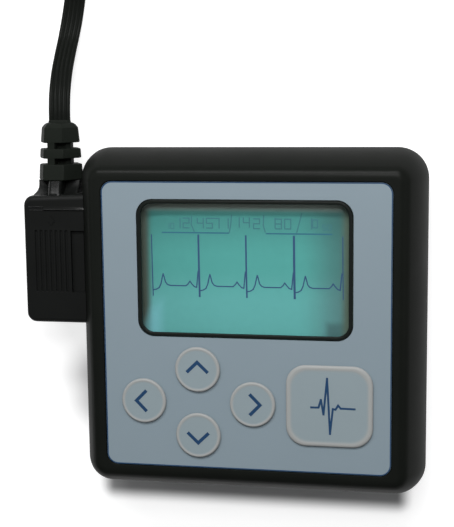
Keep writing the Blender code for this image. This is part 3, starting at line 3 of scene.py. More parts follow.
import bmesh
import bpy
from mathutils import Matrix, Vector


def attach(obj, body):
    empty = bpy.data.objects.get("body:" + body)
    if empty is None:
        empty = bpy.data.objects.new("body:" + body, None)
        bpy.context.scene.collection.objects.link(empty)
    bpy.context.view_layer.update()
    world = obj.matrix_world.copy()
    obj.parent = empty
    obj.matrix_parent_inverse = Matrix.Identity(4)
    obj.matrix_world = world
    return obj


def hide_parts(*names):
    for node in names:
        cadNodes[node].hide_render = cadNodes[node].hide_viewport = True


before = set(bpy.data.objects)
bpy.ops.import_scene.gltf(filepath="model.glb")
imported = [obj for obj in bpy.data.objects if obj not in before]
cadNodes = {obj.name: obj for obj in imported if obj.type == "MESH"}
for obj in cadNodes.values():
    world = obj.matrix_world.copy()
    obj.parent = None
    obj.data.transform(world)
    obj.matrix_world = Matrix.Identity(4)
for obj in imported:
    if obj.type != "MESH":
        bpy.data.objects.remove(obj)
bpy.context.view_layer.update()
print("frame loaded")

mm = 0.001

# Camera, fitted to the photograph
eye = dict(place=(0.04466, 0.05141, 0.26866), turn=(-0.1519, 0.1904, -0.0118), lens=99.63, sensor=36,
           near=0.01)
cameraData = bpy.data.cameras.new("camera")
cameraData.sensor_fit = "HORIZONTAL"
cameraData.sensor_width = eye["sensor"]
cameraData.lens = eye["lens"]
cameraData.clip_start = eye["near"]
camera = bpy.data.objects.new("camera", cameraData)
camera.location = eye["place"]
camera.rotation_euler = eye["turn"]
bpy.context.collection.objects.link(camera)
bpy.context.scene.camera = camera
bpy.context.scene.view_settings.view_transform = "Standard"


# Sizes and outlines
def inMm(**sizes):
    return {name: tuple(part * mm for part in size) if isinstance(size, tuple) else size * mm
            for name, size in sizes.items()}


def flat(points):
    return [(x * mm, y * mm) for x, y in points]


def smoothShare(share):
    share = min(max(share, 0.0), 1.0)
    return share * share * (3 - 2 * share)


def quarterTurns(steps):
    return [math.pi / 2 * step / steps for step in range(steps + 1)]


def roundedOutline(width, depth, radius, steps=12, centre=(0.0, 0.0)):
    points = []
    halfX, halfY = width / 2 - radius, depth / 2 - radius
    for quarter, (signX, signY) in enumerate(((1, 1), (-1, 1), (-1, -1), (1, -1))):
        for step in range(steps + 1):
            angle = math.pi / 2 * (quarter + step / steps)
            points.append((
                centre[0] + signX * halfX + radius * math.cos(angle),
                centre[1] + signY * halfY + radius * math.sin(angle),
            ))
    return points


def circleOutline(radius, sides=64, centre=(0.0, 0.0), start=0.0):
    turns = [start + 2 * math.pi * side / sides for side in range(sides)]
    return [(centre[0] + radius * math.cos(turn), centre[1] + radius * math.sin(turn)) for turn in turns]


def softPolygon(corners, soft, steps=3):
    # A polygon with each corner rounded off
    points = []
    for index, corner in enumerate(corners):
        corner = Vector(corner)
        before, after = ((Vector(corners[other % len(corners)]) - corner).normalized() * soft + corner
                         for other in (index - 1, index + 1))
        for step in range(steps + 1):
            share = step / steps
            stay = 1 - share
            points.append(tuple(before * stay ** 2 + corner * 2 * share * stay + after * share ** 2))
    return points


def ringAt(outline, height):
    return [Vector((x, y, height)) for x, y in outline]


def levelRings(outline, levels):
    return [ringAt(outline(size), height) for size, height in levels]


def discAt(place, sides=48):
    return lambda radius: circleOutline(radius, sides, place)


def insetOutline(sizes, steps=12, ease=1.0):
    # Shrinks by its inset, and its corners' radius by that share of it
    return lambda inset: roundedOutline(
        sizes["width"] - 2 * inset, sizes["depth"] - 2 * inset, sizes["corner"] - ease * inset, steps,
        sizes.get("centre", (0.0, 0.0)))


# Meshes
def addLoft(mesh, rings, closed=False):
    loops = [[mesh.verts.new(point) for point in ring] for ring in rings]
    count = len(loops[0])
    for low, high in list(zip(loops, loops[1:])) + ([(loops[-1], loops[0])] if closed else []):
        for side in range(count):
            after = (side + 1) % count
            mesh.faces.new((low[side], low[after], high[after], high[side]))
    if not closed:
        mesh.faces.new(list(reversed(loops[0])))
        mesh.faces.new(loops[-1])


def makePiece(name, mesh, material=None, sharp=32, smooth=True):
    bmesh.ops.recalc_face_normals(mesh, faces=mesh.faces)
    data = bpy.data.meshes.new(name)
    mesh.to_mesh(data)
    mesh.free()
    if smooth:
        data.shade_smooth()
        data.set_sharp_from_angle(angle=math.radians(sharp))
    piece = bpy.data.objects.new(name, data)
    if material:
        data.materials.append(material)
    bpy.context.collection.objects.link(piece)
    return piece


def loftPiece(name, rings, material=None, closed=False, sharp=32):
    mesh = bmesh.new()
    addLoft(mesh, rings, closed)
    return makePiece(name, mesh, material, sharp)


def boxTool(name, low, high):
    mesh = bmesh.new()
    outline = ((low[0], low[1]), (high[0], low[1]), (high[0], high[1]), (low[0], high[1]))
    addLoft(mesh, [ringAt(outline, low[2]), ringAt(outline, high[2])])
    return makePiece(name, mesh, smooth=False)


def carve(piece, *tools, operation="DIFFERENCE", sharp=32):
    for tool in tools:
        modifier = piece.modifiers.new("carve", "BOOLEAN")
        modifier.operation = operation
        modifier.solver = "EXACT"
        modifier.object = tool
    graph = bpy.context.evaluated_depsgraph_get()
    old, data = piece.data, bpy.data.meshes.new_from_object(piece.evaluated_get(graph))
    piece.modifiers.clear()
    piece.data = data
    data.name = piece.name
    bpy.data.meshes.remove(old)
    data.shade_smooth()
    data.set_sharp_from_angle(angle=math.radians(sharp))
    for tool in tools:
        bpy.data.objects.remove(tool, do_unlink=True)


def evenNormals(piece):
    modifier = piece.modifiers.new("even normals", "WEIGHTED_NORMAL")
    modifier.keep_sharp = True
    modifier.weight = 80


def setWear(piece, amount):
    layer = piece.data.attributes.new("wear", "FLOAT", "POINT")
    for vertex, item in zip(piece.data.vertices, layer.data):
        item.value = amount(vertex.co)


# Printed lines
def inkRun(mesh, points, width, low, high, tip=0.3, blunt=0.5):
    rows = []
    for index, point in enumerate(points):
        here = Vector(point)
        last = index == len(points) - 1
        before = (here - Vector(points[index - 1])).normalized() if index else None
        after = None if last else (Vector(points[index + 1]) - here).normalized()
        first, second = before or after, after or before
        normal = Vector((-first[1], first[0]))
        across = (normal + Vector((-second[1], second[0]))).normalized()
        miter = 1 / max(across.dot(normal), blunt)
        if not before:
            here = here - after * width * tip
        if not after:
            here = here + before * width * tip
        left, right = here + across * width / 2 * miter, here - across * width / 2 * miter
        rows.append([(*left, low), (*right, low), (*right, high), (*left, high)])
    addLoft(mesh, rows)


def inkPiece(name, lines, height, material, thickness=0.012 * mm, sharpest=math.radians(110)):
    # Cut where a line doubles back; runs that cross differ a little in height
    runs = []
    for points, width in lines:
        run = [points[0]]
        for before, here, after in zip(points, points[1:], points[2:]):
            run.append(here)
            if (Vector(here) - Vector(before)).angle(Vector(after) - Vector(here)) > sharpest:
                runs.append((run, width))
                run = [here]
        runs.append((run + [points[-1]], width))
    mesh = bmesh.new()
    for number, (run, width) in enumerate(runs):
        inkRun(mesh, run, width, height, height + (thickness + number % 4 * 0.002 * mm))
    return makePiece(name, mesh, material, smooth=False)


# Cord paths
def pathLength(points):
    return sum(math.dist(a[:3], b[:3]) for a, b in zip(points, points[1:]))


def smoothPath(points, count, samples=20):
    def sample(index, share):
        last = len(points) - 1
        a, b = points[max(index - 1, 0)], points[index]
        c, d = points[min(index + 1, last)], points[min(index + 2, last)]
        return [
            0.5 * (2 * q + (r - p) * share + (2 * p - 5 * q + 4 * r - s) * share ** 2
                   + (3 * q - p - 3 * r + s) * share ** 3)
            for p, q, r, s in zip(a, b, c, d)
        ]

    fine = [sample(i, step / samples) for i in range(len(points) - 1) for step in range(samples)]
    fine.append(list(points[-1]))
    lengths = [0.0]
    for before, after in zip(fine, fine[1:]):
        lengths.append(lengths[-1] + math.dist(before[:3], after[:3]))
    even, place = [], 0
    for step in range(count + 1):
        wanted = lengths[-1] * step / count
        while place < len(lengths) - 2 and lengths[place + 1] < wanted:
            place += 1
        share = (wanted - lengths[place]) / (lengths[place + 1] - lengths[place])
        even.append([u + (v - u) * share for u, v in zip(fine[place], fine[place + 1])])
    return even


# Materials
def addNode(material, kind, inputs, **settings):
    tree = material.node_tree
    node = tree.nodes.new("ShaderNode" + kind)
    for name, value in settings.items():
        setattr(node, name, value)
    for name, value in inputs.items():
        if isinstance(value, bpy.types.NodeSocket):
            tree.links.new(value, node.inputs[name])
        else:
            node.inputs[name].default_value = value
    return node


def surface(name, colour, roughness, metal=0.0, gloss=0.5, tint=0.12, cloud=8, grain=0.25, depth=0.004,
            roughSpread=0.06, **settings):
    # The sizes of the clouds and grain, and the grain's depth, are in millimetres
    material = bpy.data.materials.new(name)
    material.use_nodes = True
    shader = material.node_tree.nodes["Principled BSDF"]
    shader.inputs["Metallic"].default_value = metal
    shader.inputs["Specular IOR Level"].default_value = gloss
    for socket, value in settings.items():
        shader.inputs[socket.replace("_", " ")].default_value = value
    place = addNode(material, "TexCoord", {}).outputs["Object"]
    clouds = (addNode(material, "TexNoise", dict(Scale=1 / (size * mm), Detail=detail, Vector=place))
              for size, detail in ((cloud, 3), (grain, 2)))
    broad, fine = (noise.outputs["Fac"] for noise in clouds)
    dark, pale = ((*[min(part * (1 + change), 1) for part in colour], 1) for change in (-tint, tint))
    blend = addNode(material, "Mix", dict(A=dark, B=pale, Factor=broad), data_type="RGBA")
    limits = {"To Min": max(roughness - roughSpread, 0.02), "To Max": min(roughness + roughSpread, 1.0)}
    spread = addNode(material, "MapRange", dict(limits, Value=broad))
    bump = addNode(material, "Bump", dict(Strength=1.0, Distance=depth * mm, Height=fine))
    for made, output, socket in ((blend, "Result", "Base Color"), (spread, "Result", "Roughness"),
                                 (bump, "Normal", "Normal")):
        material.node_tree.links.new(made.outputs[output], shader.inputs[socket])
    return material


def overlay(material, socket, attribute, inputs, **settings):
    # Mixes a socket's own input with a value that is stored on the mesh
    target = material.node_tree.nodes["Principled BSDF"].inputs[socket]
    stored = addNode(material, "Attribute", {}, attribute_name=attribute).outputs
    sources = {name: stored[value] if isinstance(value, str) else value for name, value in inputs.items()}
    mix = addNode(material, "Mix", dict(sources, A=target.links[0].from_socket), **settings)
    material.node_tree.links.new(mix.outputs["Result"], target)


def bareMetal(name, colour, roughness, depth=0.002):
    return surface(name, colour, roughness, metal=1.0, grain=0.3, depth=depth)


caseBlack = surface("case_black", (0.0080, 0.0092, 0.0078), 0.54, grain=0.42, depth=0.013, gloss=0.056)
panelFilm = surface("panel_film", (0.235, 0.295, 0.335), 0.50, tint=0.02, cloud=14, grain=0.15,
                    depth=0.001, gloss=0.25)
navyInk = surface("navy_ink", (0.015, 0.052, 0.125), 0.50, grain=0.2, depth=0.001, gloss=0.2)
ringBlack = surface("ring_black", (0.0095, 0.0120, 0.0105), 0.36, grain=0.3, depth=0.002, gloss=0.12)
clearLens = surface("clear_lens", (0.02, 0.03, 0.03), 0.08, tint=0.02, grain=1, depth=0.0005,
                    roughSpread=0.02, Alpha=0.06)
screenTeal = surface("screen_teal", (1.0, 1.0, 1.0), 0.35, tint=0.10, cloud=1.3, grain=0.4,
                     depth=0.0005, gloss=0.2)
traceInk, tabInk, faintInk = (
    surface(name, colour, 0.40, tint=0.06, grain=0.4, depth=0.0005, gloss=0.2)
    for name, colour in (("trace_ink", (0.050, 0.110, 0.235)), ("tab_ink", (0.050, 0.195, 0.280)),
                         ("faint_ink", (0.070, 0.235, 0.265))))
keyCap = surface("key_cap", (0.262, 0.320, 0.345), 0.48, tint=0.02, cloud=6, grain=0.2,
                 depth=0.001, gloss=0.25)
plugBlack = surface("plug_black", (0.0058, 0.0064, 0.0060), 0.48, grain=0.3, depth=0.005, gloss=0.14)
bootBlack = surface("boot_black", (0.0104, 0.0128, 0.0102), 0.58, grain=0.35, depth=0.008, gloss=0.06)
cordBlack = surface("cord_black", (0.0060, 0.0072, 0.0058), 0.42, grain=0.4, depth=0.006, gloss=0.08)
tieCloth = surface("tie_black", (0.010, 0.010, 0.010), 0.92, grain=0.28, depth=0.14, tint=0.25,
                   cloud=1.2, Sheen_Weight=0.35, Sheen_Roughness=0.5)
springSteel = bareMetal("spring_steel", (0.60, 0.60, 0.58), 0.28)
contactBrass = bareMetal("contact_brass", (0.60, 0.42, 0.15), 0.30)
screwSteel = bareMetal("screw_steel", (0.22, 0.22, 0.22), 0.34, 0.003)
for material, roughness in ((caseBlack, 0.30), (plugBlack, 0.25)):
    overlay(material, "Roughness", "wear", dict(B=roughness, Factor="Fac"))
overlay(keyCap, "Base Color", "shade", dict(B=(0.345, 0.355, 0.350, 1), Factor="Fac"), data_type="RGBA")
overlay(screenTeal, "Base Color", "tone", dict(B="Color", Factor=1.0), data_type="RGBA",
        blend_type="MULTIPLY")
print("materials made")

# Case: outline, side profile and openings as in the CAD model
case = dict(inMm(width=73.0, depth=72.7, height=21.0, parting=10.7, partingGap=0.2, corner=6.3, wall=2.0,
                 cavityCorner=4.0, edge=3.0, side=21.0, ceiling=18.3, floor=20.1, panelTop=20.7, chamfer=0.15,
                 mouthChamfer=0.12, wearLow=20.1, wearRise=0.4, wearHigh=20.97, wearFall=0.08),
            edgeTurn=math.radians(58), sideTurn=math.radians(85), sideSteps=12, edgeSteps=8, cornerSteps=14)
panel = inMm(width=59.7, depth=59.9, corner=2.3, gap=0.15, thickness=0.3, cut=0.2, borderOuter=0.02,
             borderInner=0.24, ink=0.012, cutLow=19.0, cutHigh=22.0)
window = inMm(centre=(-0.2, 12.07), width=44.25, depth=28.25, wall=0.74, corner=3.2, round=0.2, top=20.9,
              low=20.3, lensTop=20.0, lensLow=19.2, lensChamfer=0.1, ledge=0.3, inset=0.06)
keypad = inMm(radius=4.74, overhang=0.5, holeGap=0.2, capLow=21.03, capTop=21.41, rim=0.62, dish=0.06,
              flangeTop=18.0, flangeLow=17.3, lip=-0.2, stem=1.5, stemLow=15.95)
keyPlaces = inMm(key_up=(-10.0, -8.9), key_down=(-10.0, -22.9), key_left=(-21.5, -15.9),
                 key_right=(1.5, -15.9))
event = inMm(centre=(17.32, -15.68), width=17.75, depth=16.95, corner=4.1, rim=0.95)
port = inMm(left=-38.5, right=-30.9, middle=13.2, shieldDepth=16.6, gap=0.5, front=(8.7, 13.2),
            rear=(7.8, 12.7))
screws = inMm(x=30.0, y=29.85, seat=1.6, head=2.0, headLow=0.1, headTop=1.3, column=3.0, bore=1.3, gap=0.3,
              flare=0.5, flareHeight=0.2, shank=1.0, shankTop=15.7, crossLength=1.15, crossWidth=0.22,
              crossTop=0.65, rim=0.25, rimRise=0.1, rimInset=0.1, faceInset=0.3, middle=0.6)
screwPlaces = [(signX * screws["x"], signY * screws["y"]) for signX in (-1, 1) for signY in (-1, 1)]


def caseLevels(rise, growth=0.0, chamfer=True):
    # Inset and height of each level, from the parting line outwards
    half = case["height"] - case["parting"] if rise > 0 else case["parting"]
    arcs = ((case["side"], case["sideTurn"], case["edgeTurn"], case["sideSteps"]),
            (case["edge"], case["edgeTurn"], 0.0, case["edgeSteps"]))
    stretch = half / sum(radius * (math.cos(end) - math.cos(start)) for radius, start, end, _ in arcs)
    levels = [(0.0, 0.0)]
    for radius, start, end, steps in arcs:
        inset, height = levels[-1]
        for step in range(1, steps + 1):
            angle = start + (end - start) * step / steps
            levels.append((inset + radius * (math.sin(start) - math.sin(angle)),
                           height + stretch * radius * (math.cos(angle) - math.cos(start))))
    if chamfer:
        gap = case["partingGap"] if rise < 0 else 0.0
        levels[:1] = [(case["chamfer"], gap), (0.0, gap + case["chamfer"])]
    return [(taper - growth, case["parting"] + rise * up) for taper, up in levels]


def caseHalf(name, rise, material=None, growth=0.0):
    rings = levelRings(insetOutline(case, case["cornerSteps"]), caseLevels(rise, growth, growth == 0.0))
    return loftPiece(name, rings[::rise], material)


def cavityHalf(name, rise, end):
    def outline(inset):
        width, depth = (case[side] - 2 * (inset + case["wall"]) for side in ("width", "depth"))
        return roundedOutline(width, depth, case["cavityCorner"], case["cornerSteps"])

    levels = caseLevels(rise, chamfer=False)
    within = [(inset, height) for inset, height in levels if (height - end) * rise <= 0]
    beyond = [(inset, end) for inset, _ in levels[len(within):len(within) + 1]]
    before = [(levels[0][0], levels[0][1] - rise * 2 * mm)]
    return loftPiece(name, levelRings(outline, before + within + beyond)[::rise])


keyOutlines = {name: lambda shrink, place=place: circleOutline(keypad["radius"] - shrink, 64, place)
               for name, place in keyPlaces.items()}
keyOutlines["key_event"] = insetOutline(event, ease=0.5)


def keyHoles(name, low, high):
    mesh = bmesh.new()
    shrink = keypad["overhang"] - keypad["holeGap"]
    for outline in keyOutlines.values():
        addLoft(mesh, levelRings(outline, ((shrink, low), (shrink, high))))
    return makePiece(name, mesh)


def portTool(name, low, high):
    half = port["shieldDepth"] / 2 + port["gap"]
    return boxTool(name, (port["left"], port["middle"] - half, low),
                   (port["right"], port["middle"] + half, high))


frontShell = caseHalf("case_front", 1, caseBlack)
panelOutline, windowOutline = insetOutline(panel), insetOutline(window)
floor, ledge = -panel["gap"], window["lensLow"] - window["ledge"]
low, top = case["ceiling"] - 2 * mm, case["height"]
carve(
    frontShell,
    cavityHalf("front cavity", 1, case["ceiling"]),
    loftPiece("recess tool", levelRings(panelOutline, (
        (floor, case["floor"]), (floor, top - case["mouthChamfer"]),
        (floor - case["mouthChamfer"], top), (floor - case["mouthChamfer"], top + 2 * mm)))),
    loftPiece("window tool", levelRings(windowOutline, (
        (window["inset"], low), (window["inset"], ledge), (-window["ledge"], ledge), (-window["ledge"], top)))),
    keyHoles("shell holes", low, top),
    portTool("front port", *port["front"]),
)
evenNormals(frontShell)
setWear(frontShell, lambda co: smoothShare((co.z - case["wearLow"]) / case["wearRise"])
        * smoothShare((case["wearHigh"] - co.z) / case["wearFall"]))
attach(frontShell, "case")
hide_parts("front_shell")

bay = inMm(halfLength=25.05, halfDepth=5.55, wall=1.0, top=12.7, roof=0.7, y=-25.5, low=1.0)
door = inMm(inner=-16.5, lip=1.1, lipHeight=0.6, thickness=1.6, gap=0.3)
grip = dict(inMm(length=12.0, width=0.7, corner=0.34, pitch=1.6, depth=0.4), grooves=4)


def doorTool(name, growth):
    face, flange = bay["halfLength"] + growth, bay["halfLength"] + door["lip"] + growth
    lipTop, top = door["lipHeight"] + door["gap"] - growth, door["thickness"] + growth
    side = [(-face, -2 * mm), (face, -2 * mm), (face, lipTop), (flange, lipTop), (flange, top), (-flange, top),
            (-flange, lipTop), (-face, lipTop)]
    near, far = door["inner"] + growth, -case["depth"] / 2 - 2 * mm
    return loftPiece(name, [[Vector((x, y, z)) for x, z in side] for y in (near, far)])


rearShell = caseHalf("case_rear", -1, caseBlack)
carve(rearShell, cavityHalf("rear cavity", -1, case["wall"]))
columns, seats = bmesh.new(), bmesh.new()
flare, wide = screws["head"] + screws["flare"], screws["head"] + screws["gap"]
for place in screwPlaces:
    addLoft(columns, levelRings(discAt(place, 40), (
        (screws["column"], bay["low"]), (screws["column"], case["parting"] - screws["gap"]))))
    addLoft(seats, levelRings(discAt(place, 40), (
        (flare, -1 * mm), (flare, 0.0), (wide, screws["flareHeight"]), (wide, screws["seat"]),
        (screws["bore"], screws["seat"]), (screws["bore"], 12 * mm))))
outerX, outerY = bay["halfLength"] + bay["wall"], bay["halfDepth"] + bay["wall"]
carve(
    rearShell,
    boxTool("bay block", (-outerX, bay["y"] - outerY, bay["low"]),
            (outerX, bay["y"] + outerY, bay["top"] + bay["roof"])),
    makePiece("columns", columns),
    operation="UNION",
)
carve(
    rearShell,
    boxTool("bay hollow", (-bay["halfLength"], bay["y"] - bay["halfDepth"], -2 * mm),
            (bay["halfLength"], bay["y"] + bay["halfDepth"], bay["top"])),
    doorTool("door way", door["gap"]),
    makePiece("seats", seats),
    portTool("rear port", *port["rear"]),
)
evenNormals(rearShell)
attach(rearShell, "case")
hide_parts("rear_shell")

batteryDoor = caseHalf("cell_door", -1, caseBlack)
carve(batteryDoor, doorTool("door shape", 0.0), operation="INTERSECT")
mesh = bmesh.new()
for index in range(grip["grooves"]):
    y = bay["y"] + (index - (grip["grooves"] - 1) / 2) * grip["pitch"]
    outline = roundedOutline(grip["length"], grip["width"], grip["corner"], 6, (0.0, y))
    addLoft(mesh, [ringAt(outline, -1 * mm), ringAt(outline, grip["depth"])])
carve(batteryDoor, makePiece("grip", mesh))
evenNormals(batteryDoor)
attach(batteryDoor, "door")
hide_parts("battery_door")
print("case made")

# Front film with its printed border, the window's ring and the lens
low, high, base = panel["cutLow"], panel["cutHigh"], case["panelTop"]
film = loftPiece("front_film", levelRings(panelOutline, ((0.0, base - panel["thickness"]), (0.0, base))),
                 panelFilm)
carve(film, loftPiece("film window", levelRings(windowOutline, ((-panel["cut"], low), (-panel["cut"], high)))),
      keyHoles("film holes", low, high))
outer, inner, inkTop = panel["borderOuter"], panel["borderInner"], base + panel["ink"]
border = loftPiece("film_border", levelRings(panelOutline, (
    (outer, base), (outer, inkTop), (inner, inkTop), (inner, base))), navyInk, closed=True)
for piece in (film, border):
    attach(piece, "case")
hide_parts("front_overlay")

soft, wall, top = window["round"], window["wall"], window["top"]
profile = [(0.0, window["low"])]
profile += [(soft * (1 - math.cos(turn)), top - soft * (1 - math.sin(turn))) for turn in quarterTurns(4)]
profile += [(wall - soft * (1 - math.sin(turn)), top - soft * (1 - math.cos(turn))) for turn in quarterTurns(4)]
profile += [(wall, window["low"])]
bezel = loftPiece("window_ring", levelRings(windowOutline, profile), ringBlack, closed=True)
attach(bezel, "case")
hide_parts("screen_bezel")

lens = loftPiece("lens", levelRings(windowOutline, (
    (0.0, window["lensLow"]), (0.0, window["lensTop"] - window["lensChamfer"]),
    (window["lensChamfer"], window["lensTop"]))), clearLens)
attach(lens, "case")
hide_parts("window_lens")

# Screen face: brighter towards its lower edge, darker towards the top and right, with painted glare in the
# lower left corner and, round its margin, the display's dark frame with painted shade of the window ring
# Colours of the screen: its teal, a painted glare, and its dark frame with painted shade of the window ring at
# the margin
screen = dict(inMm(centre=(-0.1, 12.1), width=44.6, depth=28.6, low=16.9, top=18.0), cells=(92, 60),
              lit=(0.118, 0.480, 0.440), bright=(0.160, 0.545, 0.520), pale=(0.220, 0.610, 0.655),
              frameAndShade=(0.105, 0.135, 0.110), frameAndShadeTop=(0.400, 0.460, 0.410), frameAndShadeRight=(0.125, 0.180, 0.135),
              rightFall=(0.18, 0.42, 0.40), patch=(0.58, 0.40, 0.42))


def mixed(first, second, share):
    share = smoothShare(share)
    return [a + (b - a) * share for a, b in zip(first, second)]


def screenTone(x, y):
    # Place on the glass in millimetres to the colour that shows there
    colour = mixed(screen["lit"], screen["bright"], (12.5 - y) / 8)
    colour = [part * (1 - 0.24 * smoothShare((y - 14) / 9) - 0.10 * smoothShare(-x / 20)) for part in colour]
    # Painted glare: a pale reflection towards the lower left corner
    colour = mixed(colour, screen["pale"], min((-16.6 - x) / 3.2, (7.0 - y) / 6.0))
    colour = [part * (1 - fall * smoothShare((x - 10) / 10)) for part, fall in zip(colour, screen["rightFall"])]
    patch = [part * share for part, share in zip(screen["bright"], screen["patch"])]
    colour = mixed(colour, patch, min((x - 15.6) / 1.2, (1.7 - y) / 1.2) * 0.7)
    # Margin: the display's dark frame seen through the lens with painted shade of the window ring over it; the
    # top margin is painted paler where the ring's rendered shadow falls
    leftEdge = (-19.7 - x) / 1.7 * (1 if y > 4 else max(0.5, 0.5 + 0.12 * y))
    colour = mixed(mixed(colour, screen["frameAndShade"], leftEdge), screen["frameAndShadeTop"], (y - 23.3) / 1.5)
    return mixed(colour, screen["frameAndShadeRight"], (x - 18.9) / 1.8)


mesh = bmesh.new()
tones = mesh.verts.layers.float_color.new("tone")
across, along = screen["cells"]
left, low = (screen["centre"][axis] - screen[side] / 2 for axis, side in enumerate(("width", "depth")))
columns = []
for i in range(across + 1):
    x = left + screen["width"] * i / across
    column = []
    for j in range(along + 1):
        y = low + screen["depth"] * j / along
        vertex = mesh.verts.new((x, y, screen["top"]))
        vertex[tones] = (*screenTone(x / mm, y / mm), 1.0)
        column.append(vertex)
    columns.append(column)
for i in range(across):
    for j in range(along):
        mesh.faces.new((columns[i][j], columns[i + 1][j], columns[i + 1][j + 1], columns[i][j + 1]))
rim = [columns[i][0] for i in range(across + 1)] + [columns[across][j] for j in range(1, along + 1)]
rim += [columns[i][along] for i in range(across - 1, -1, -1)] + [columns[0][j] for j in range(along - 1, 0, -1)]
base = [mesh.verts.new((vertex.co.x, vertex.co.y, screen["low"])) for vertex in rim]
for vertex in base:
    vertex[tones] = (*screen["frameAndShade"], 1.0)
for index in range(len(rim)):
    after = (index + 1) % len(rim)
    mesh.faces.new((base[index], base[after], rim[after], rim[index]))
mesh.faces.new(list(reversed(base)))
screenFace = makePiece("screen_face", mesh, screenTeal)
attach(screenFace, "case")
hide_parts("lcd_glass")

# What the screen shows, in millimetres: a heart trace under two tabs with plain digits
trace = dict(first=-19.98, pitch=9.92, width=0.26, peaks=(0.22, 0.40, 0.34, 0.46, 0.20),
             peakThickness=0.022, peak=((0.0, 18.7), (0.04, 12.0), (0.12, 5.9)),
             before=((-2.75, 8.1), (-2.25, 8.55), (-1.92, 9.1), (-1.55, 8.55), (-1.0, 7.95), (-0.5, 7.8),
                     (-0.16, 11.2)),
             after=((0.16, 7.1), (0.85, 7.25), (1.45, 7.6), (1.85, 8.5), (2.15, 9.9), (2.32, 10.55),
                    (2.52, 9.9), (2.8, 8.8), (3.2, 8.3), (3.8, 8.1)))
tabs = dict(width=0.30, lines=(((-17.7, 19.2), (-3.7, 19.2)), ((4.1, 19.2), (17.5, 19.2))),
            sides=(((-3.55, 19.35), (-3.2, 21.2), (-3.06, 22.9)), ((-11.4, 22.6), (-11.5, 20.9), (-10.9, 19.4)),
                   ((10.35, 19.4), (11.4, 23.4)), ((3.6, 22.9), (3.5, 20.9), (3.9, 19.5))))
digits = dict(
    stroke=0.26, small=1.5, thinner=0.7, wide=0.62, pitch=0.95,
    corners=dict(a=((0, 2), (1, 2)), b=((1, 2), (1, 1)), c=((1, 1), (1, 0)), d=((1, 0), (0, 0)),
                 e=((0, 0), (0, 1)), f=((0, 1), (0, 2)), g=((0, 1), (1, 1))),
    shapes={"0": "abcdef", "1": "bc", "2": "abged", "3": "abgcd", "4": "fgbc", "5": "afgcd", "7": "abc",
            "8": "abcdefg"},
    words=(("10", -16.9, 20.0, 1.1), ("12", -15.1, 20.2, 2.0), ("45", -10.2, 20.2, 2.0),
           ("71", -6.9, 20.2, 2.0), ("1", -2.7, 20.4, 2.0), ("4", -0.6, 20.4, 2.0), ("2", 1.5, 20.2, 2.0),
           ("1", 4.7, 20.4, 2.0), ("30", 6.0, 20.2, 2.0), ("1", 12.0, 20.2, 2.2), ("0", 13.6, 20.5, 1.6),
           ("50", 15.6, 20.0, 1.1)))
waves, peaks = [], []
for number, width in enumerate(trace["peaks"]):
    peak = trace["first"] + trace["pitch"] * number
    peaks.append((flat([(peak + shift, height) for shift, height in trace["peak"]]), width * mm))
    if number:
        wave = [(peak - trace["pitch"] + shift, height) for shift, height in trace["after"]]
        wave += [(peak + shift, height) for shift, height in trace["before"]]
        waves.append((flat(wave), trace["width"] * mm))
header = [(flat(line), digits["stroke"] * mm) for line in tabs["sides"]]
for word, x, y, size in digits["words"]:
    stroke = digits["stroke"] * mm * (digits["thinner"] if size < digits["small"] else 1.0)
    for number, digit in enumerate(word):
        for segment in digits["shapes"][digit]:
            header.append((flat([(x + (u * digits["wide"] + number * digits["pitch"]) * size, y + v * size / 2)
                                 for u, v in digits["corners"][segment]]), stroke))
traceLine = inkPiece("screen_trace", waves, screen["top"], traceInk)
peakLines = inkPiece("screen_peaks", peaks, screen["top"], traceInk, trace["peakThickness"] * mm)
tabLines = inkPiece("screen_tabs", [(flat(line), tabs["width"] * mm) for line in tabs["lines"]], screen["top"],
                    tabInk)
headerLines = inkPiece("screen_header", header, screen["top"], faintInk)
for piece in (traceLine, peakLines, tabLines, headerLines):
    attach(piece, "case")
print("front made")

# Keys: cap with a raised pale rim, flange and stem; the prints in millimetres
capRim = dict(round=0.6, fall=((0.72, 0.003, 1.0), (0.85, 0.02, 0.9), (1.0, 0.042, 0.55)),
              dish=((1.18, 0.25), (1.5, 0.0), (2.2, 0.0)))
chevron = dict(width=0.70, half=2.08, apex=1.58, foot=-0.44,
               turns=dict(key_up=0.0, key_left=math.pi / 2, key_down=math.pi, key_right=-math.pi / 2))
beat = dict(width=0.42, points=((13.58, -15.93), (15.16, -15.92), (15.64, -14.24), (16.17, -17.39),
                                (16.90, -9.77), (17.51, -21.43), (18.07, -16.12), (18.62, -16.23),
                                (19.15, -15.34), (19.66, -15.95), (22.58, -16.0)))


def capLevels(rim):
    # Shrink, height and paleness of each level of a cap, from its flange to its dish
    low, top = keypad["capLow"], keypad["capTop"]
    floor = top - keypad["dish"]
    levels = [(keypad["lip"], keypad["flangeLow"], 0.0), (keypad["lip"], keypad["flangeTop"], 0.0),
              (keypad["overhang"], keypad["flangeTop"], 0.0), (keypad["overhang"], low, 1.0)]
    levels += [(rim * capRim["round"] * (1 - math.cos(turn)), low + (top - low) * math.sin(turn), 1.0)
               for turn in quarterTurns(8)]
    levels += [(rim * share, top - drop * mm, shade) for share, drop, shade in capRim["fall"]]
    return levels + [(rim * share, floor, shade) for share, shade in capRim["dish"]]


def keyPrint(name):
    if name == "key_event":
        return flat(beat["points"]), beat["width"] * mm
    (x, y), turn = keyPlaces[name], chevron["turns"][name]
    half, foot = chevron["half"], chevron["foot"]
    shape = flat(((-half, foot), (0.0, chevron["apex"]), (half, foot)))
    return [(x + u * math.cos(turn) - v * math.sin(turn), y + u * math.sin(turn) + v * math.cos(turn))
            for u, v in shape], chevron["width"] * mm


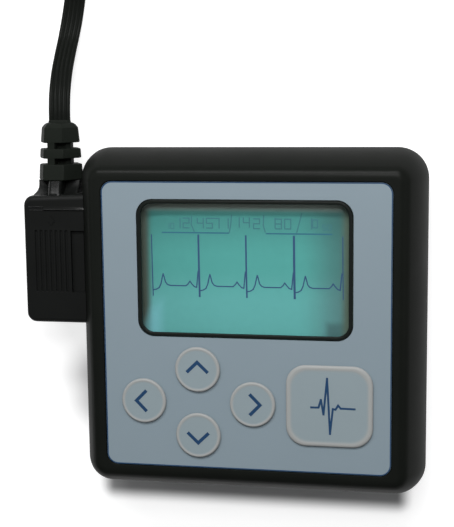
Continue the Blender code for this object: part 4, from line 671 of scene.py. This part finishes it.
inkHeight = keypad["capTop"] - keypad["dish"] + 0.002 * mm
for name, outline in keyOutlines.items():
    edge = outline(0.0)
    middle = [sum(values) / len(edge) for values in zip(*edge)]
    first = math.atan2(edge[0][1] - middle[1], edge[0][0] - middle[0])
    stem = circleOutline(keypad["stem"], len(edge), middle, first)
    levels = capLevels(event["rim"] if name == "key_event" else keypad["rim"])
    rings = [ringAt(stem, keypad["stemLow"]), ringAt(stem, keypad["flangeLow"])]
    rings += levelRings(outline, [level[:2] for level in levels])
    shades = [0.0, 0.0] + [shade for _, _, shade in levels]
    mesh = bmesh.new()
    addLoft(mesh, rings)
    layer = mesh.verts.layers.float.new("shade")
    for index, vertex in enumerate(mesh.verts):
        vertex[layer] = shades[index // len(edge)]
    cap = makePiece(name + "_cap", mesh, keyCap, 40)
    ink = inkPiece(name + "_ink", [keyPrint(name)], inkHeight, navyInk)
    for piece in (cap, ink):
        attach(piece, name.split("_")[1] + "_key")
    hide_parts(name)
print("keys made")

# Plug housing: same outlines as the CAD model, with its grip, ridge, arrow and rib
plug = dict(inMm(left=-48.0, bottom=-0.6, top=27.0, z=10.5, edge=1.0, reach=6.0, back=4.0, front=17.4,
                 corner=2.0, slope=0.5, slopeStart=-43.4, slopeLength=2.6, pocketLeft=-37.7, pocketWidth=6.0,
                 pocketDepth=0.8, clear=0.08, beyond=1.0), leftShare=0.5, topShare=1.2, cornerShare=0.4)
grooves = dict(inMm(pitch=1.1, first=-45.3, width=0.5, depth=0.3, low=6.1, high=19.2, flare=0.2, corner=0.22,
                    flareCorner=0.3, flareDepth=0.1), count=7)
neck = dict(ribRound=0.75, rib=((24.0, 0.5, 3.7, 17.3), (25.5, 0.5, 3.4, 17.28), (26.2, 0.42, 3.05, 17.05),
                                (27.0, 0.32, 2.9, 16.67), (27.8, 0.22, 2.85, 16.27), (28.6, 0.15, 2.85, 15.84),
                                (29.45, 0.1, 2.85, 15.37)),
            webRound=0.5, web=((24.0, 5.6, 11.6), (26.0, 5.2, 11.0), (26.5, 4.85, 9.6), (26.9, 4.6, 8.0),
                               (27.3, 4.5, 6.2), (27.8, 4.5, 4.6), (28.5, 4.6, 3.4), (29.45, 4.7, 2.8)))
marks = dict(ridge=((0.62, -0.3), (0.58, -0.06), (0.5, -0.02), (-0.24, 0.32), (-0.34, 0.31), (-0.44, 0.12),
                    (-0.46, -0.3)), ridgeY=23.9, ridgeEnds=(-43.4, -30.6),
             line=((0.24, -0.3), (0.22, -0.02), (-0.08, 0.12), (-0.16, 0.10), (-0.18, -0.3)),
             lineYs=(24.25, 23.55), lineEnds=(-46.7, -43.5),
             arrow=((-42.7, 21.0), (-41.85, 22.35), (-41.0, 21.0), (-41.55, 21.0), (-41.55, 20.4),
                    (-42.15, 20.4), (-42.15, 21.0)), arrowLevels=(-0.5, 0.16))
rub = inMm(ridge=23.0, ridgeRise=0.05, rib=25.4, ribLow=15.1, ribShift=0.3, ribHalf=1.5)
boot = dict(inMm(x=-41.6, coreHeight=3.2, core=(-2.55, 2.6), coreRound=0.9, post=(-1.65, -0.1), shift=0.3,
                 side=0.36, soft=0.22), face=0.24, posts=(33.5, 36.8), postHalf=0.9,
            sections=((29.5, 9.7, 9.0), (32.85, 9.25, 8.3), (36.15, 8.8, 7.9), (40.55, 7.95, 7.3),
                      (41.1, 7.0, 6.4), (41.6, 5.7, 5.2)),
            blocks=((29.5, 32.85), (34.1, 36.15), (37.4, 40.55, 41.1, 41.6)), coreEnds=(29.6, 41.0),
            ends=((0.0, 0.25), (0.07, 0.08), (0.25, 0.0)), postDrop=0.12,
            collar=((41.0, 4.9, 1.8), (41.9, 4.85, 1.7), (42.1, 4.6, 1.5)))


def plugLevel(depth):
    # The housing's outline so far from its front or back
    edge = plug["edge"] - math.sqrt(plug["edge"] ** 2 - max(plug["edge"] - depth, 0.0) ** 2)
    left, right = plug["left"] + edge * plug["leftShare"], -case["width"] / 2 + plug["reach"]
    bottom, top = plug["bottom"] + edge, plug["top"] - edge * plug["topShare"]
    outline = roundedOutline(right - left, top - bottom, plug["corner"] - edge * plug["cornerShare"], 12,
                             ((left + right) / 2, (top + bottom) / 2))
    return [(x, y - plug["slope"] * smoothShare((plug["slopeStart"] - x) / plug["slopeLength"])
             * smoothShare(y / mm / 4 - 5)) for x, y in outline]


def acrossBoot(outline, y, middle=0.0):
    return [Vector((boot["x"] + middle - x, y, plug["z"] + z)) for x, z in outline]


def neckRing(y, width, height, radius, shift=0.0):
    return acrossBoot(roundedOutline(width, height, radius * mm, 8), y * mm, shift * mm)


def barRings(shape, y, ends):
    # A raised bar along x on the plug's front, from its section
    return [[Vector((x * mm, (y + u) * mm, plug["front"] + v * mm)) for u, v in shape] for x in ends]


depths = [plug["edge"] * (1 - math.cos(turn)) for turn in quarterTurns(6)]
levels = [(depth, plug["back"] + depth) for depth in depths]
levels += [(depth, plug["front"] - depth) for depth in reversed(depths)]
housing = loftPiece("plug_case", levelRings(plugLevel, levels), plugBlack)
lines = bmesh.new()
for y in marks["lineYs"]:
    addLoft(lines, barRings(marks["line"], y, marks["lineEnds"]))
carve(
    housing,
    loftPiece("rib", [neckRing(y, width * mm, 2 * (top * mm - plug["z"]), neck["ribRound"], shift)
                      for y, shift, width, top in neck["rib"]]),
    loftPiece("web", [neckRing(y, 2 * reach * mm, thick * mm, neck["webRound"])
                      for y, reach, thick in neck["web"]]),
    loftPiece("ridge", barRings(marks["ridge"], marks["ridgeY"], marks["ridgeEnds"])),
    makePiece("ridge lines", lines),
    loftPiece("arrow", [ringAt(flat(marks["arrow"]), plug["front"] + rise * mm)
                        for rise in marks["arrowLevels"]]),
    operation="UNION",
)
mesh = bmesh.new()
middle, length = (grooves["low"] + grooves["high"]) / 2, grooves["high"] - grooves["low"]
for index in range(grooves["count"]):
    x, flare = grooves["first"] + index * grooves["pitch"], grooves["flare"]
    wide = roundedOutline(grooves["width"] + flare, length + flare, grooves["flareCorner"], 5, (x, middle))
    slim = roundedOutline(grooves["width"], length, grooves["corner"], 5, (x, middle))
    addLoft(mesh, [ringAt(outline, plug["front"] + rise) for outline, rise in (
        (slim, -grooves["depth"]), (slim, -grooves["flareDepth"]), (wide, 0.0), (wide, plug["beyond"]))])
carve(
    housing,
    caseHalf("front clear", 1, None, plug["clear"]),
    caseHalf("rear clear", -1, None, plug["clear"]),
    makePiece("grooves", mesh),
    boxTool("pocket", (plug["pocketLeft"], grooves["low"], plug["front"] - plug["pocketDepth"]),
            (plug["pocketLeft"] + plug["pocketWidth"], grooves["high"], plug["front"] + plug["beyond"])),
)
evenNormals(housing)


def rubbed(co):
    # The ridge, and the top of the rib under the boot
    ridge = co.y > rub["ridge"] and co.z > plug["front"] + rub["ridgeRise"]
    onRib = abs(co.x - boot["x"] - rub["ribShift"]) < rub["ribHalf"]
    return 1.0 if ridge or (onRib and co.y > rub["rib"] and co.z > rub["ribLow"]) else 0.0


setWear(housing, rubbed)
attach(housing, "patient_cable")
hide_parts("plug_housing")


# Strain relief: three flat-sided blocks on a core, with notches between them
def bootSize(y):
    for (low, *first), (high, *second) in zip(boot["sections"], boot["sections"][1:]):
        if y <= high:
            return [a + (b - a) * (y - low) / (high - low) for a, b in zip(first, second)]


def bootRing(y, shrink):
    # A flat-sided section, widest halfway up
    width, height = ((size - 2 * shrink) * mm for size in bootSize(y))
    corners = []
    for signX, signZ in ((1, 1), (-1, 1), (-1, -1), (1, -1)):
        pair = [(signX * (width / 2), signZ * boot["side"]),
                (signX * width * boot["face"] + signZ * boot["shift"], signZ * (height / 2))]
        corners += pair if signX * signZ > 0 else pair[::-1]
    return acrossBoot(softPolygon(corners, boot["soft"]), y * mm)


coreOutline = roundedOutline(boot["core"][1] - boot["core"][0], boot["coreHeight"], boot["coreRound"], 6)
strainRelief = loftPiece("strain_relief", [acrossBoot(coreOutline, y * mm, sum(boot["core"]) / 2)
                                           for y in boot["coreEnds"]], bootBlack)
blocks = []
for number, (start, *between, end) in enumerate(boot["blocks"]):
    levels = [(start + away, shrink) for away, shrink in boot["ends"]] + [(y, 0.0) for y in between]
    levels += [(end - away, shrink) for away, shrink in reversed(boot["ends"])]
    blocks.append(loftPiece("block_%d" % number, [bootRing(*level) for level in levels]))
for y in boot["posts"]:
    for sign in (-1, 1):
        low, high = sorted(boot["x"] + sign * side for side in boot["post"])
        deep, tall = sorted((plug["z"], plug["z"] + sign * (bootSize(y)[1] / 2 - boot["postDrop"]) * mm))
        blocks.append(boxTool("post", (low, (y - boot["postHalf"]) * mm, deep),
                              (high, (y + boot["postHalf"]) * mm, tall)))
carve(strainRelief, *blocks, operation="UNION")
collar = loftPiece("collar", [acrossBoot(roundedOutline(width * mm, height * mm, height * 0.45 * mm, 8), y * mm)
                              for y, width, height in boot["collar"]])
carve(strainRelief, collar, operation="UNION")
evenNormals(strainRelief)
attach(strainRelief, "patient_cable")
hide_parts("cord_boot")
print("plug made")

# Ribbon cord: free stretch from the boot, then the coil that puts its length away
ribbon = dict(inMm(wire=0.95, width=4.75, lift=0.1), wires=5, steps=150, arc=(-64, -38, -13, 13, 38, 64))
ribbonRoute = (
    (-0.0416, 0.0419, 0.0105, 0.0), (-0.0416, 0.0445, 0.0104, 0.0), (-0.0417, 0.0480, 0.0095, 0.0),
    (-0.0419, 0.0520, 0.0072, 0.0), (-0.0420, 0.0560, 0.0042, 0.0), (-0.0418, 0.0600, 0.0017, 0.0),
    (-0.0411, 0.0645, 0.0008, 0.0), (-0.0401, 0.0700, 0.0010, 0.08), (-0.0392, 0.0755, 0.0017, 0.30),
    (-0.0385, 0.0810, 0.0024, 0.60), (-0.03815, 0.0865, 0.00258, 0.86), (-0.03802, 0.0920, 0.00250, 0.98),
    (-0.03800, 0.0970, 0.00248, 1.0), (-0.03800, 0.1020, 0.00248, 1.0),
)
coil = dict(inMm(x=-7.7, y=102.0, radius=30.3, pitch=1.75, raised=1.4), turns=3.75, perTurn=84,
            humpFlat=math.radians(12), humpSpread=math.radians(50))


def coilRadius(travel):
    return coil["radius"] - coil["pitch"] * travel / (2 * math.pi)


def aroundCoil(radius, travel, height):
    angle = math.pi - travel
    return (coil["x"] + radius * math.cos(angle), coil["y"] + radius * math.sin(angle), height)


def coilPoint(travel):
    apart = abs(math.remainder(math.pi - travel, 2 * math.pi))
    hump = 1 - smoothShare((apart - coil["humpFlat"]) / (coil["humpSpread"] - coil["humpFlat"]))
    height = ribbon["lift"] + ribbon["width"] / 2 + (coil["raised"] - ribbon["lift"]) * hump
    return aroundCoil(coilRadius(travel), travel, height)


def ribbonSection():
    # Five wires side by side, joined by thin webs
    radius = ribbon["wire"] / 2
    upper = [(-ribbon["width"] / 2, 0.0)]
    for wire in range(ribbon["wires"]):
        middle = (wire - (ribbon["wires"] - 1) / 2) * ribbon["wire"]
        upper += [(middle + radius * math.sin(math.radians(turn)), radius * math.cos(math.radians(turn)))
                  for turn in ribbon["arc"]]
    upper.append((ribbon["width"] / 2, 0.0))
    return upper + [(u, -v) for u, v in reversed(upper[1:-1])]


def sweepRings(points, wides, section):
    rings = []
    for index, (point, wide) in enumerate(zip(points, wides)):
        before, after = points[max(index - 1, 0)], points[min(index + 1, len(points) - 1)]
        along = (Vector(after) - Vector(before)).normalized()
        wide = Vector(wide)
        wide = (wide - along * wide.dot(along)).normalized()
        through = along.cross(wide)
        rings.append([Vector(point) + wide * u + through * v for u, v in section])
    return rings


route = smoothPath(ribbonRoute, ribbon["steps"])
wides = [(math.cos(twist * math.pi / 2), 0.0, math.sin(twist * math.pi / 2)) for *_, twist in route]
coilEnd = coil["turns"] * 2 * math.pi
coilSteps = round(coil["turns"] * coil["perTurn"])
wound = [coilPoint(coilEnd * step / coilSteps) for step in range(1, coilSteps + 1)]
cordPath = [tuple(point[:3]) for point in route] + wound
ribbonCord = loftPiece("ribbon_cord", sweepRings(cordPath, wides + [(0.0, 0.0, 1.0)] * len(wound),
                                                 ribbonSection()), cordBlack, sharp=60)
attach(ribbonCord, "patient_cable")
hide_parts("cord_ribbon", "cord_coil")
print("ribbon made", round(pathLength(cordPath), 4), "m")

# Hook and loop tie round the coil's turns
tie = dict(inMm(width=8.0, thick=1.0, spare=0.3, edge=0.2, innerRound=0.5, edgeRound=1.2, outerRound=1.3),
           edgeRise=0.85)
crossings = (math.pi + 2 * math.pi * turn for turn in range(4))
radii = [coilRadius(travel) for travel in crossings if travel < coilEnd]
tieInner = math.sqrt((min(radii) - ribbon["wire"] / 2) ** 2 - (tie["width"] / 2) ** 2) - tie["spare"]
tieOuter = max(radii) + ribbon["wire"] / 2 + tie["spare"]
tieLow, tieHigh = coil["raised"] - tie["spare"], coil["raised"] + ribbon["width"] + tie["spare"]


def tieLoop(y, grow, radius):
    outline = roundedOutline(tieOuter - tieInner + 2 * grow, tieHigh - tieLow + 2 * grow, radius, 8,
                             (coil["x"] + (tieOuter + tieInner) / 2, (tieHigh + tieLow) / 2))
    return [Vector((x, y, z)) for x, z in outline]


near, far = coil["y"] - tie["width"] / 2, coil["y"] + tie["width"] / 2
profile = ((0.0, 0.0, tie["innerRound"]), (0.0, tie["thick"] * tie["edgeRise"], tie["edgeRound"]),
           (tie["edge"], tie["thick"], tie["outerRound"]))
band = loftPiece("coil_strap", [tieLoop(near + y, grow, radius) for y, grow, radius in profile]
                 + [tieLoop(far - y, grow, radius) for y, grow, radius in reversed(profile)], tieCloth,
                 closed=True)
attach(band, "patient_cable")
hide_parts("coil_tie")

# Yoke where the wires part, then five lead wires with their snap connectors
yoke = dict(inMm(length=7.0, width=2.2, shift=0.3, gap=0.3, corner=0.7, exit=0.6), straight=10,
            ends=((0.0, 0.3), (0.3, 0.09), (1.0, 0.0)))
lead = dict(inMm(wire=0.9, pitch=1.25, lane=21.15), fan=math.radians(46), first=math.radians(114),
            step=math.radians(59), turnIn=math.radians(66), pull=0.36, lanePoints=10, turnPoints=6,
            steps=48, moreSteps=24)
snap = dict(inMm(radius=4.2, height=4.6, edge=0.6, circle=9.2, tail=2.7, rootWidth=3.0, endWidth=1.8,
                 rootHeight=2.8, endHeight=1.8, bore=2.6, boreDepth=2.2, eyelet=2.3, hole=1.7, eyeletHeight=1.8,
                 clear=0.3, endShrink=0.25),
            tilt=math.radians(64), dimple=((2.9, 0.0), (2.6, 0.12), (2.2, 0.12), (1.9, 0.0)),
            tailShares=(0.0, 0.25, 0.5, 0.75, 0.92, 1.0),
            eyeletOuter=((0.0, 0.15), (-0.12, 0.0)), eyeletEase=0.1,
            eyeletBore=((0.2, 0.0), (0.0, 0.2), (0.06, 0.8), (0.0, 1.3)),
            colours=(("red", (0.36, 0.016, 0.014)), ("white", (0.62, 0.62, 0.58)),
                     ("black", (0.010, 0.010, 0.010)), ("brown", (0.10, 0.040, 0.018)),
                     ("green", (0.012, 0.17, 0.050))))
endRadius = coilRadius(coilEnd)
yokeStart, yokeExit = coilEnd + yoke["gap"] / endRadius, coilEnd + (yoke["length"] + yoke["exit"]) / endRadius
yokeEnd = yokeExit - yoke["gap"] / endRadius
yokeRadius = endRadius - yoke["shift"]
yokeHeight = lead["wire"] + 4 * lead["pitch"] + yoke["shift"]
yokeSizes = dict(yoke, depth=yokeHeight, centre=(0.0, ribbon["lift"] + yokeHeight / 2))
yokeOutline = insetOutline(yokeSizes, 6, 0.5)


def yokeRing(travel, shrink):
    return [Vector(aroundCoil(yokeRadius + u, travel, z)) for u, z in yokeOutline(shrink)]


soft = yoke["gap"] / yokeRadius
yokeTurns = [(yokeStart + soft * share, shrink * mm) for share, shrink in yoke["ends"]]
yokeTurns += [(yokeStart + soft + (yokeEnd - yokeStart - 2 * soft) * step / yoke["straight"], 0.0)
              for step in range(1, yoke["straight"])]
yokeTurns += [(yokeEnd - soft * share, shrink * mm) for share, shrink in reversed(yoke["ends"])]
yokePiece = loftPiece("yoke", [yokeRing(*row) for row in yokeTurns], bootBlack)
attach(yokePiece, "patient_cable")
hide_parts("lead_yoke")


def lanePoint(index, travel):
    # The leads leave the yoke one above the other and fan out flat, side by side
    apart = lead["pitch"] * (4 - index)
    share = smoothShare((travel - yokeExit) / lead["fan"])
    fan = share * math.pi / 2
    radius = lead["lane"] + (yokeRadius - lead["lane"]) * (1 - share) - apart * math.sin(fan)
    return Vector(aroundCoil(radius, travel, ribbon["lift"] + lead["wire"] / 2 + apart * math.cos(fan)))


def leadPath(index, travelEnd, centre, tail):
    turnStart = travelEnd - lead["turnIn"]
    points = [lanePoint(index, yokeExit + (turnStart - yokeExit) * step / lead["lanePoints"])
              for step in range(lead["lanePoints"])]
    leave = lanePoint(index, turnStart)
    heading = (leave - points[-1]).normalized()
    end = centre + tail * (snap["radius"] + snap["tail"] + snap["clear"])
    end.z = ribbon["lift"] + snap["endHeight"] / 2
    pull = (end - leave).length * lead["pull"]
    for step in range(lead["turnPoints"] + 1):
        share = step / lead["turnPoints"]
        stay = 1 - share
        points.append(leave * stay ** 3 + (leave + heading * pull) * (3 * stay * stay * share)
                      + (end + tail * pull) * (3 * stay * share * share) + end * share ** 3)
    return [tuple(point) for point in points]


def snapBody(name, centre, tail, plastic):
    radius, edge, low = snap["radius"], snap["edge"], ribbon["lift"]
    high = low + snap["height"]
    bend = [(edge * (1 - math.sin(turn)), edge * (1 - math.cos(turn))) for turn in quarterTurns(5)]
    levels = [(snap["bore"], low + snap["boreDepth"]), (snap["bore"], low)]
    levels += [(radius - inset, low + up) for inset, up in bend]
    levels += [(radius - inset, high - down) for down, inset in bend]
    levels += [(wide * mm, high - drop * mm) for wide, drop in snap["dimple"]]
    body = loftPiece(name, levelRings(discAt(centre), levels), plastic, sharp=40)
    side = Vector((-tail.y, tail.x, 0.0))
    rings = []
    for share in snap["tailShares"]:
        width, height = (snap["root" + size] + (snap["end" + size] - snap["root" + size]) * share
                         for size in ("Width", "Height"))
        shrink = snap["endShrink"] if share == 1.0 else 0.0
        point = centre + tail * (radius - edge + (snap["tail"] + edge) * share)
        outline = roundedOutline(width - shrink, height - shrink, height / 3, 5)
        rings.append([point + side * u + Vector((0.0, 0.0, low + height / 2 + v)) for u, v in outline])
    carve(body, loftPiece("tail", rings), operation="UNION", sharp=40)
    return body


def snapEyelet(name, centre):
    hole, outer, low = snap["hole"], snap["eyelet"], ribbon["lift"]
    top = low + snap["eyeletHeight"]
    levels = [(outer + wider * mm, low + rise * mm) for wider, rise in snap["eyeletOuter"]]
    levels += [(hole + wider * mm, low + rise * mm) for wider, rise in snap["eyeletBore"]]
    levels += [(hole + snap["eyeletEase"] * mm, top), (outer, top)]
    return loftPiece(name, levelRings(discAt(centre), levels), springSteel, closed=True, sharp=40)


def leadWire(name, path):
    curve = bpy.data.curves.new(name, "CURVE")
    curve.dimensions = "3D"
    curve.bevel_depth = lead["wire"] / 2
    curve.bevel_resolution = 4
    curve.use_fill_caps = True
    spline = curve.splines.new("POLY")
    spline.points.add(len(path) - 1)
    for target, point in zip(spline.points, path):
        target.co = (*point, 1.0)
    spline.use_smooth = True
    curve.materials.append(cordBlack)
    wire = bpy.data.objects.new(name, curve)
    bpy.context.collection.objects.link(wire)
    return wire


for index, (colour, value) in enumerate(snap["colours"]):
    number = index + 1
    travel = yokeExit + lead["first"] + lead["step"] * index
    angle = math.pi - travel
    outward = Vector((math.cos(angle), math.sin(angle), 0.0))
    back = Vector((-math.sin(angle), math.cos(angle), 0.0))
    centre = Vector((coil["x"], coil["y"], 0.0)) + outward * snap["circle"]
    tail = outward * math.cos(snap["tilt"]) + back * math.sin(snap["tilt"])
    plastic = surface("snap_" + colour, value, 0.34, tint=0.06, grain=0.5, depth=0.003)
    body = snapBody("snap_body_%d" % number, centre, tail, plastic)
    ring = snapEyelet("eyelet_%d" % number, centre)
    path = smoothPath(leadPath(index, travel, centre, tail), lead["steps"] + lead["moreSteps"] * index)
    wire = leadWire("lead_%d" % number, path)
    for piece, node, slotName in ((body, "snap_%d", "snap_" + colour), (ring, "snap_eyelet_%d", "spring_steel"),
                                  (wire, "lead_wire_%d", "cord_black")):
        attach(piece, "patient_cable")
        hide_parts(node % number)
print("leads made")

# Screws in the back
for number, place in enumerate(screwPlaces, 1):
    wide, low, top = screws["head"], screws["headLow"], screws["headTop"]
    screw = loftPiece("screw_%d" % number, levelRings(discAt(place, 40), (
        (screws["shank"], screws["shankTop"]), (screws["shank"], top), (wide, top), (wide, low + screws["rim"]),
        (wide - screws["rimInset"], low + screws["rimRise"]), (wide - screws["faceInset"], low),
        (screws["middle"], low))), screwSteel)
    carve(screw, *[boxTool("cross", (place[0] - halfX, place[1] - halfY, -1 * mm),
                           (place[0] + halfX, place[1] + halfY, screws["crossTop"]))
                   for halfX, halfY in ((screws["crossLength"], screws["crossWidth"]),
                                        (screws["crossWidth"], screws["crossLength"]))])
    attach(screw, "case")
    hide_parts("case_screw_%d" % number)

# Materials of the pieces inside, which keep their CAD shapes
chipBlack = surface("chip_black", (0.014, 0.014, 0.015), 0.55)
inside = {
    surface("light_guide", (0.75, 0.85, 0.80), 0.35, tint=0.03): ["lcd_backlight"],
    surface("frame_grey", (0.05, 0.05, 0.05), 0.5): ["lcd_frame"],
    surface("flex_amber", (0.45, 0.20, 0.04), 0.4): ["lcd_flex"],
    surface("board_green", (0.015, 0.11, 0.045), 0.42, tint=0.25, cloud=2): ["main_board"],
    surface("cell_sleeve", (0.14, 0.15, 0.16), 0.28, tint=0.05, grain=0.6, depth=0.002): ["battery_cell"],
    springSteel: ["dome_sheet", "backup_cell", "battery_contact", "battery_spring", "plug_shield"],
    contactBrass: ["socket_pins"] + ["threaded_insert_%d" % number for number in range(1, 5)],
    chipBlack: ["processor_chip", "memory_chip", "amplifier_chip", "beeper", "lead_socket", "plug_tongue"],
}
for material, names in inside.items():
    for name in names:
        cadNodes[name].data.materials.clear()
        cadNodes[name].data.materials.append(material)

# Floor, white to the camera, its glow lowered into painted shadow round the object, under the case and beside
# the plug; for each painted shadow its centre, half size, start and end of its rise, and brightness in and out
floorSizes = dict(half=1.5, z=-0.0002)
paintedShadows = dict(wide=((0.0, 0.0), (0.0, 0.0), 0.045, 0.200, 0.73, 1.0),
               shadowUnderCase=((-0.0023, -0.0060), (0.0322, 0.0360), 0.0, 0.0041, 0.0, 1.0),
               shadowBesidePlug=((-0.0345, -0.0190), (0.0040, 0.0025), 0.0, 0.0105, 0.25, 1.0))
floorPale = surface("floor_pale", (0.55, 0.55, 0.55), 0.75, tint=0.01, cloud=100, grain=2,
                    depth=0.001, gloss=0.1, Emission_Color=(1.0, 1.0, 1.0, 1.0))
rays = addNode(floorPale, "LightPath", {}).outputs
glow = rays["Is Camera Ray"]
for other in ("Is Glossy Ray", "Is Transmission Ray"):
    glow = addNode(floorPale, "Math", {0: glow, 1: rays[other]}, operation="MAXIMUM").outputs[0]
place = addNode(floorPale, "TexCoord", {}).outputs["Object"]
# Each painted shadow lowers the floor's glow close to its box
for centre, half, near, far, low, high in paintedShadows.values():
    spot = place
    for operation, value in (("SUBTRACT", centre), ("ABSOLUTE", None), ("SUBTRACT", half),
                             ("MAXIMUM", (0.0, 0.0)), ("LENGTH", None)):
        inputs = {0: spot, 1: (*value, 0.0)} if value else {0: spot}
        step = addNode(floorPale, "VectorMath", inputs, operation=operation)
        spot = step.outputs["Value" if operation == "LENGTH" else "Vector"]
    limits = {"From Min": near, "From Max": far, "To Min": low, "To Max": high, "Value": spot}
    rise = addNode(floorPale, "MapRange", limits, interpolation_type="SMOOTHSTEP")
    glow = addNode(floorPale, "Math", {0: glow, 1: rise.outputs["Result"]}, operation="MULTIPLY").outputs[0]
tree = floorPale.node_tree
tree.links.new(glow, tree.nodes["Principled BSDF"].inputs["Emission Strength"])
mesh = bmesh.new()
bmesh.ops.create_grid(mesh, x_segments=8, y_segments=8, size=floorSizes["half"])
floor = makePiece("floor", mesh, floorPale)
floor.location.z = floorSizes["z"]

# Lamps: place, what they point at, size and watts
lamps = dict(light_key=((0.04, 0.17, 0.33), (0.0, 0.0, 0.02), (0.14, 0.09), 0.54),
             light_edge=((-0.03, 0.305, 0.305), (0.0, 0.03, 0.02), (0.34, 0.045), 1.10),
             light_right=((0.55, 0.05, 0.40), (0.0, 0.0, 0.0), (0.5, 0.35), 0.35),
             light_left=((-0.55, 0.15, 0.45), (0.0, 0.0, 0.0), (0.5, 0.35), 0.5),
             light_front=((0.0, -0.60, 0.40), (0.0, 0.0, 0.0), (0.6, 0.35), 0.1))
for name, (place, target, size, watts) in lamps.items():
    data = bpy.data.lights.new(name, "AREA")
    data.shape = "RECTANGLE"
    data.size, data.size_y = size
    data.energy = watts
    light = bpy.data.objects.new(name, data)
    light.location = place
    light.rotation_euler = (Vector(target) - Vector(place)).to_track_quat("-Z", "Y").to_euler()
    bpy.context.collection.objects.link(light)
world = bpy.data.worlds.new("world")
world.use_nodes = True
world.node_tree.nodes["Background"].inputs["Color"].default_value = (0.96, 0.98, 1.0, 1.0)
world.node_tree.nodes["Background"].inputs["Strength"].default_value = 0.12
bpy.context.scene.world = world
print("floor and lamps made")
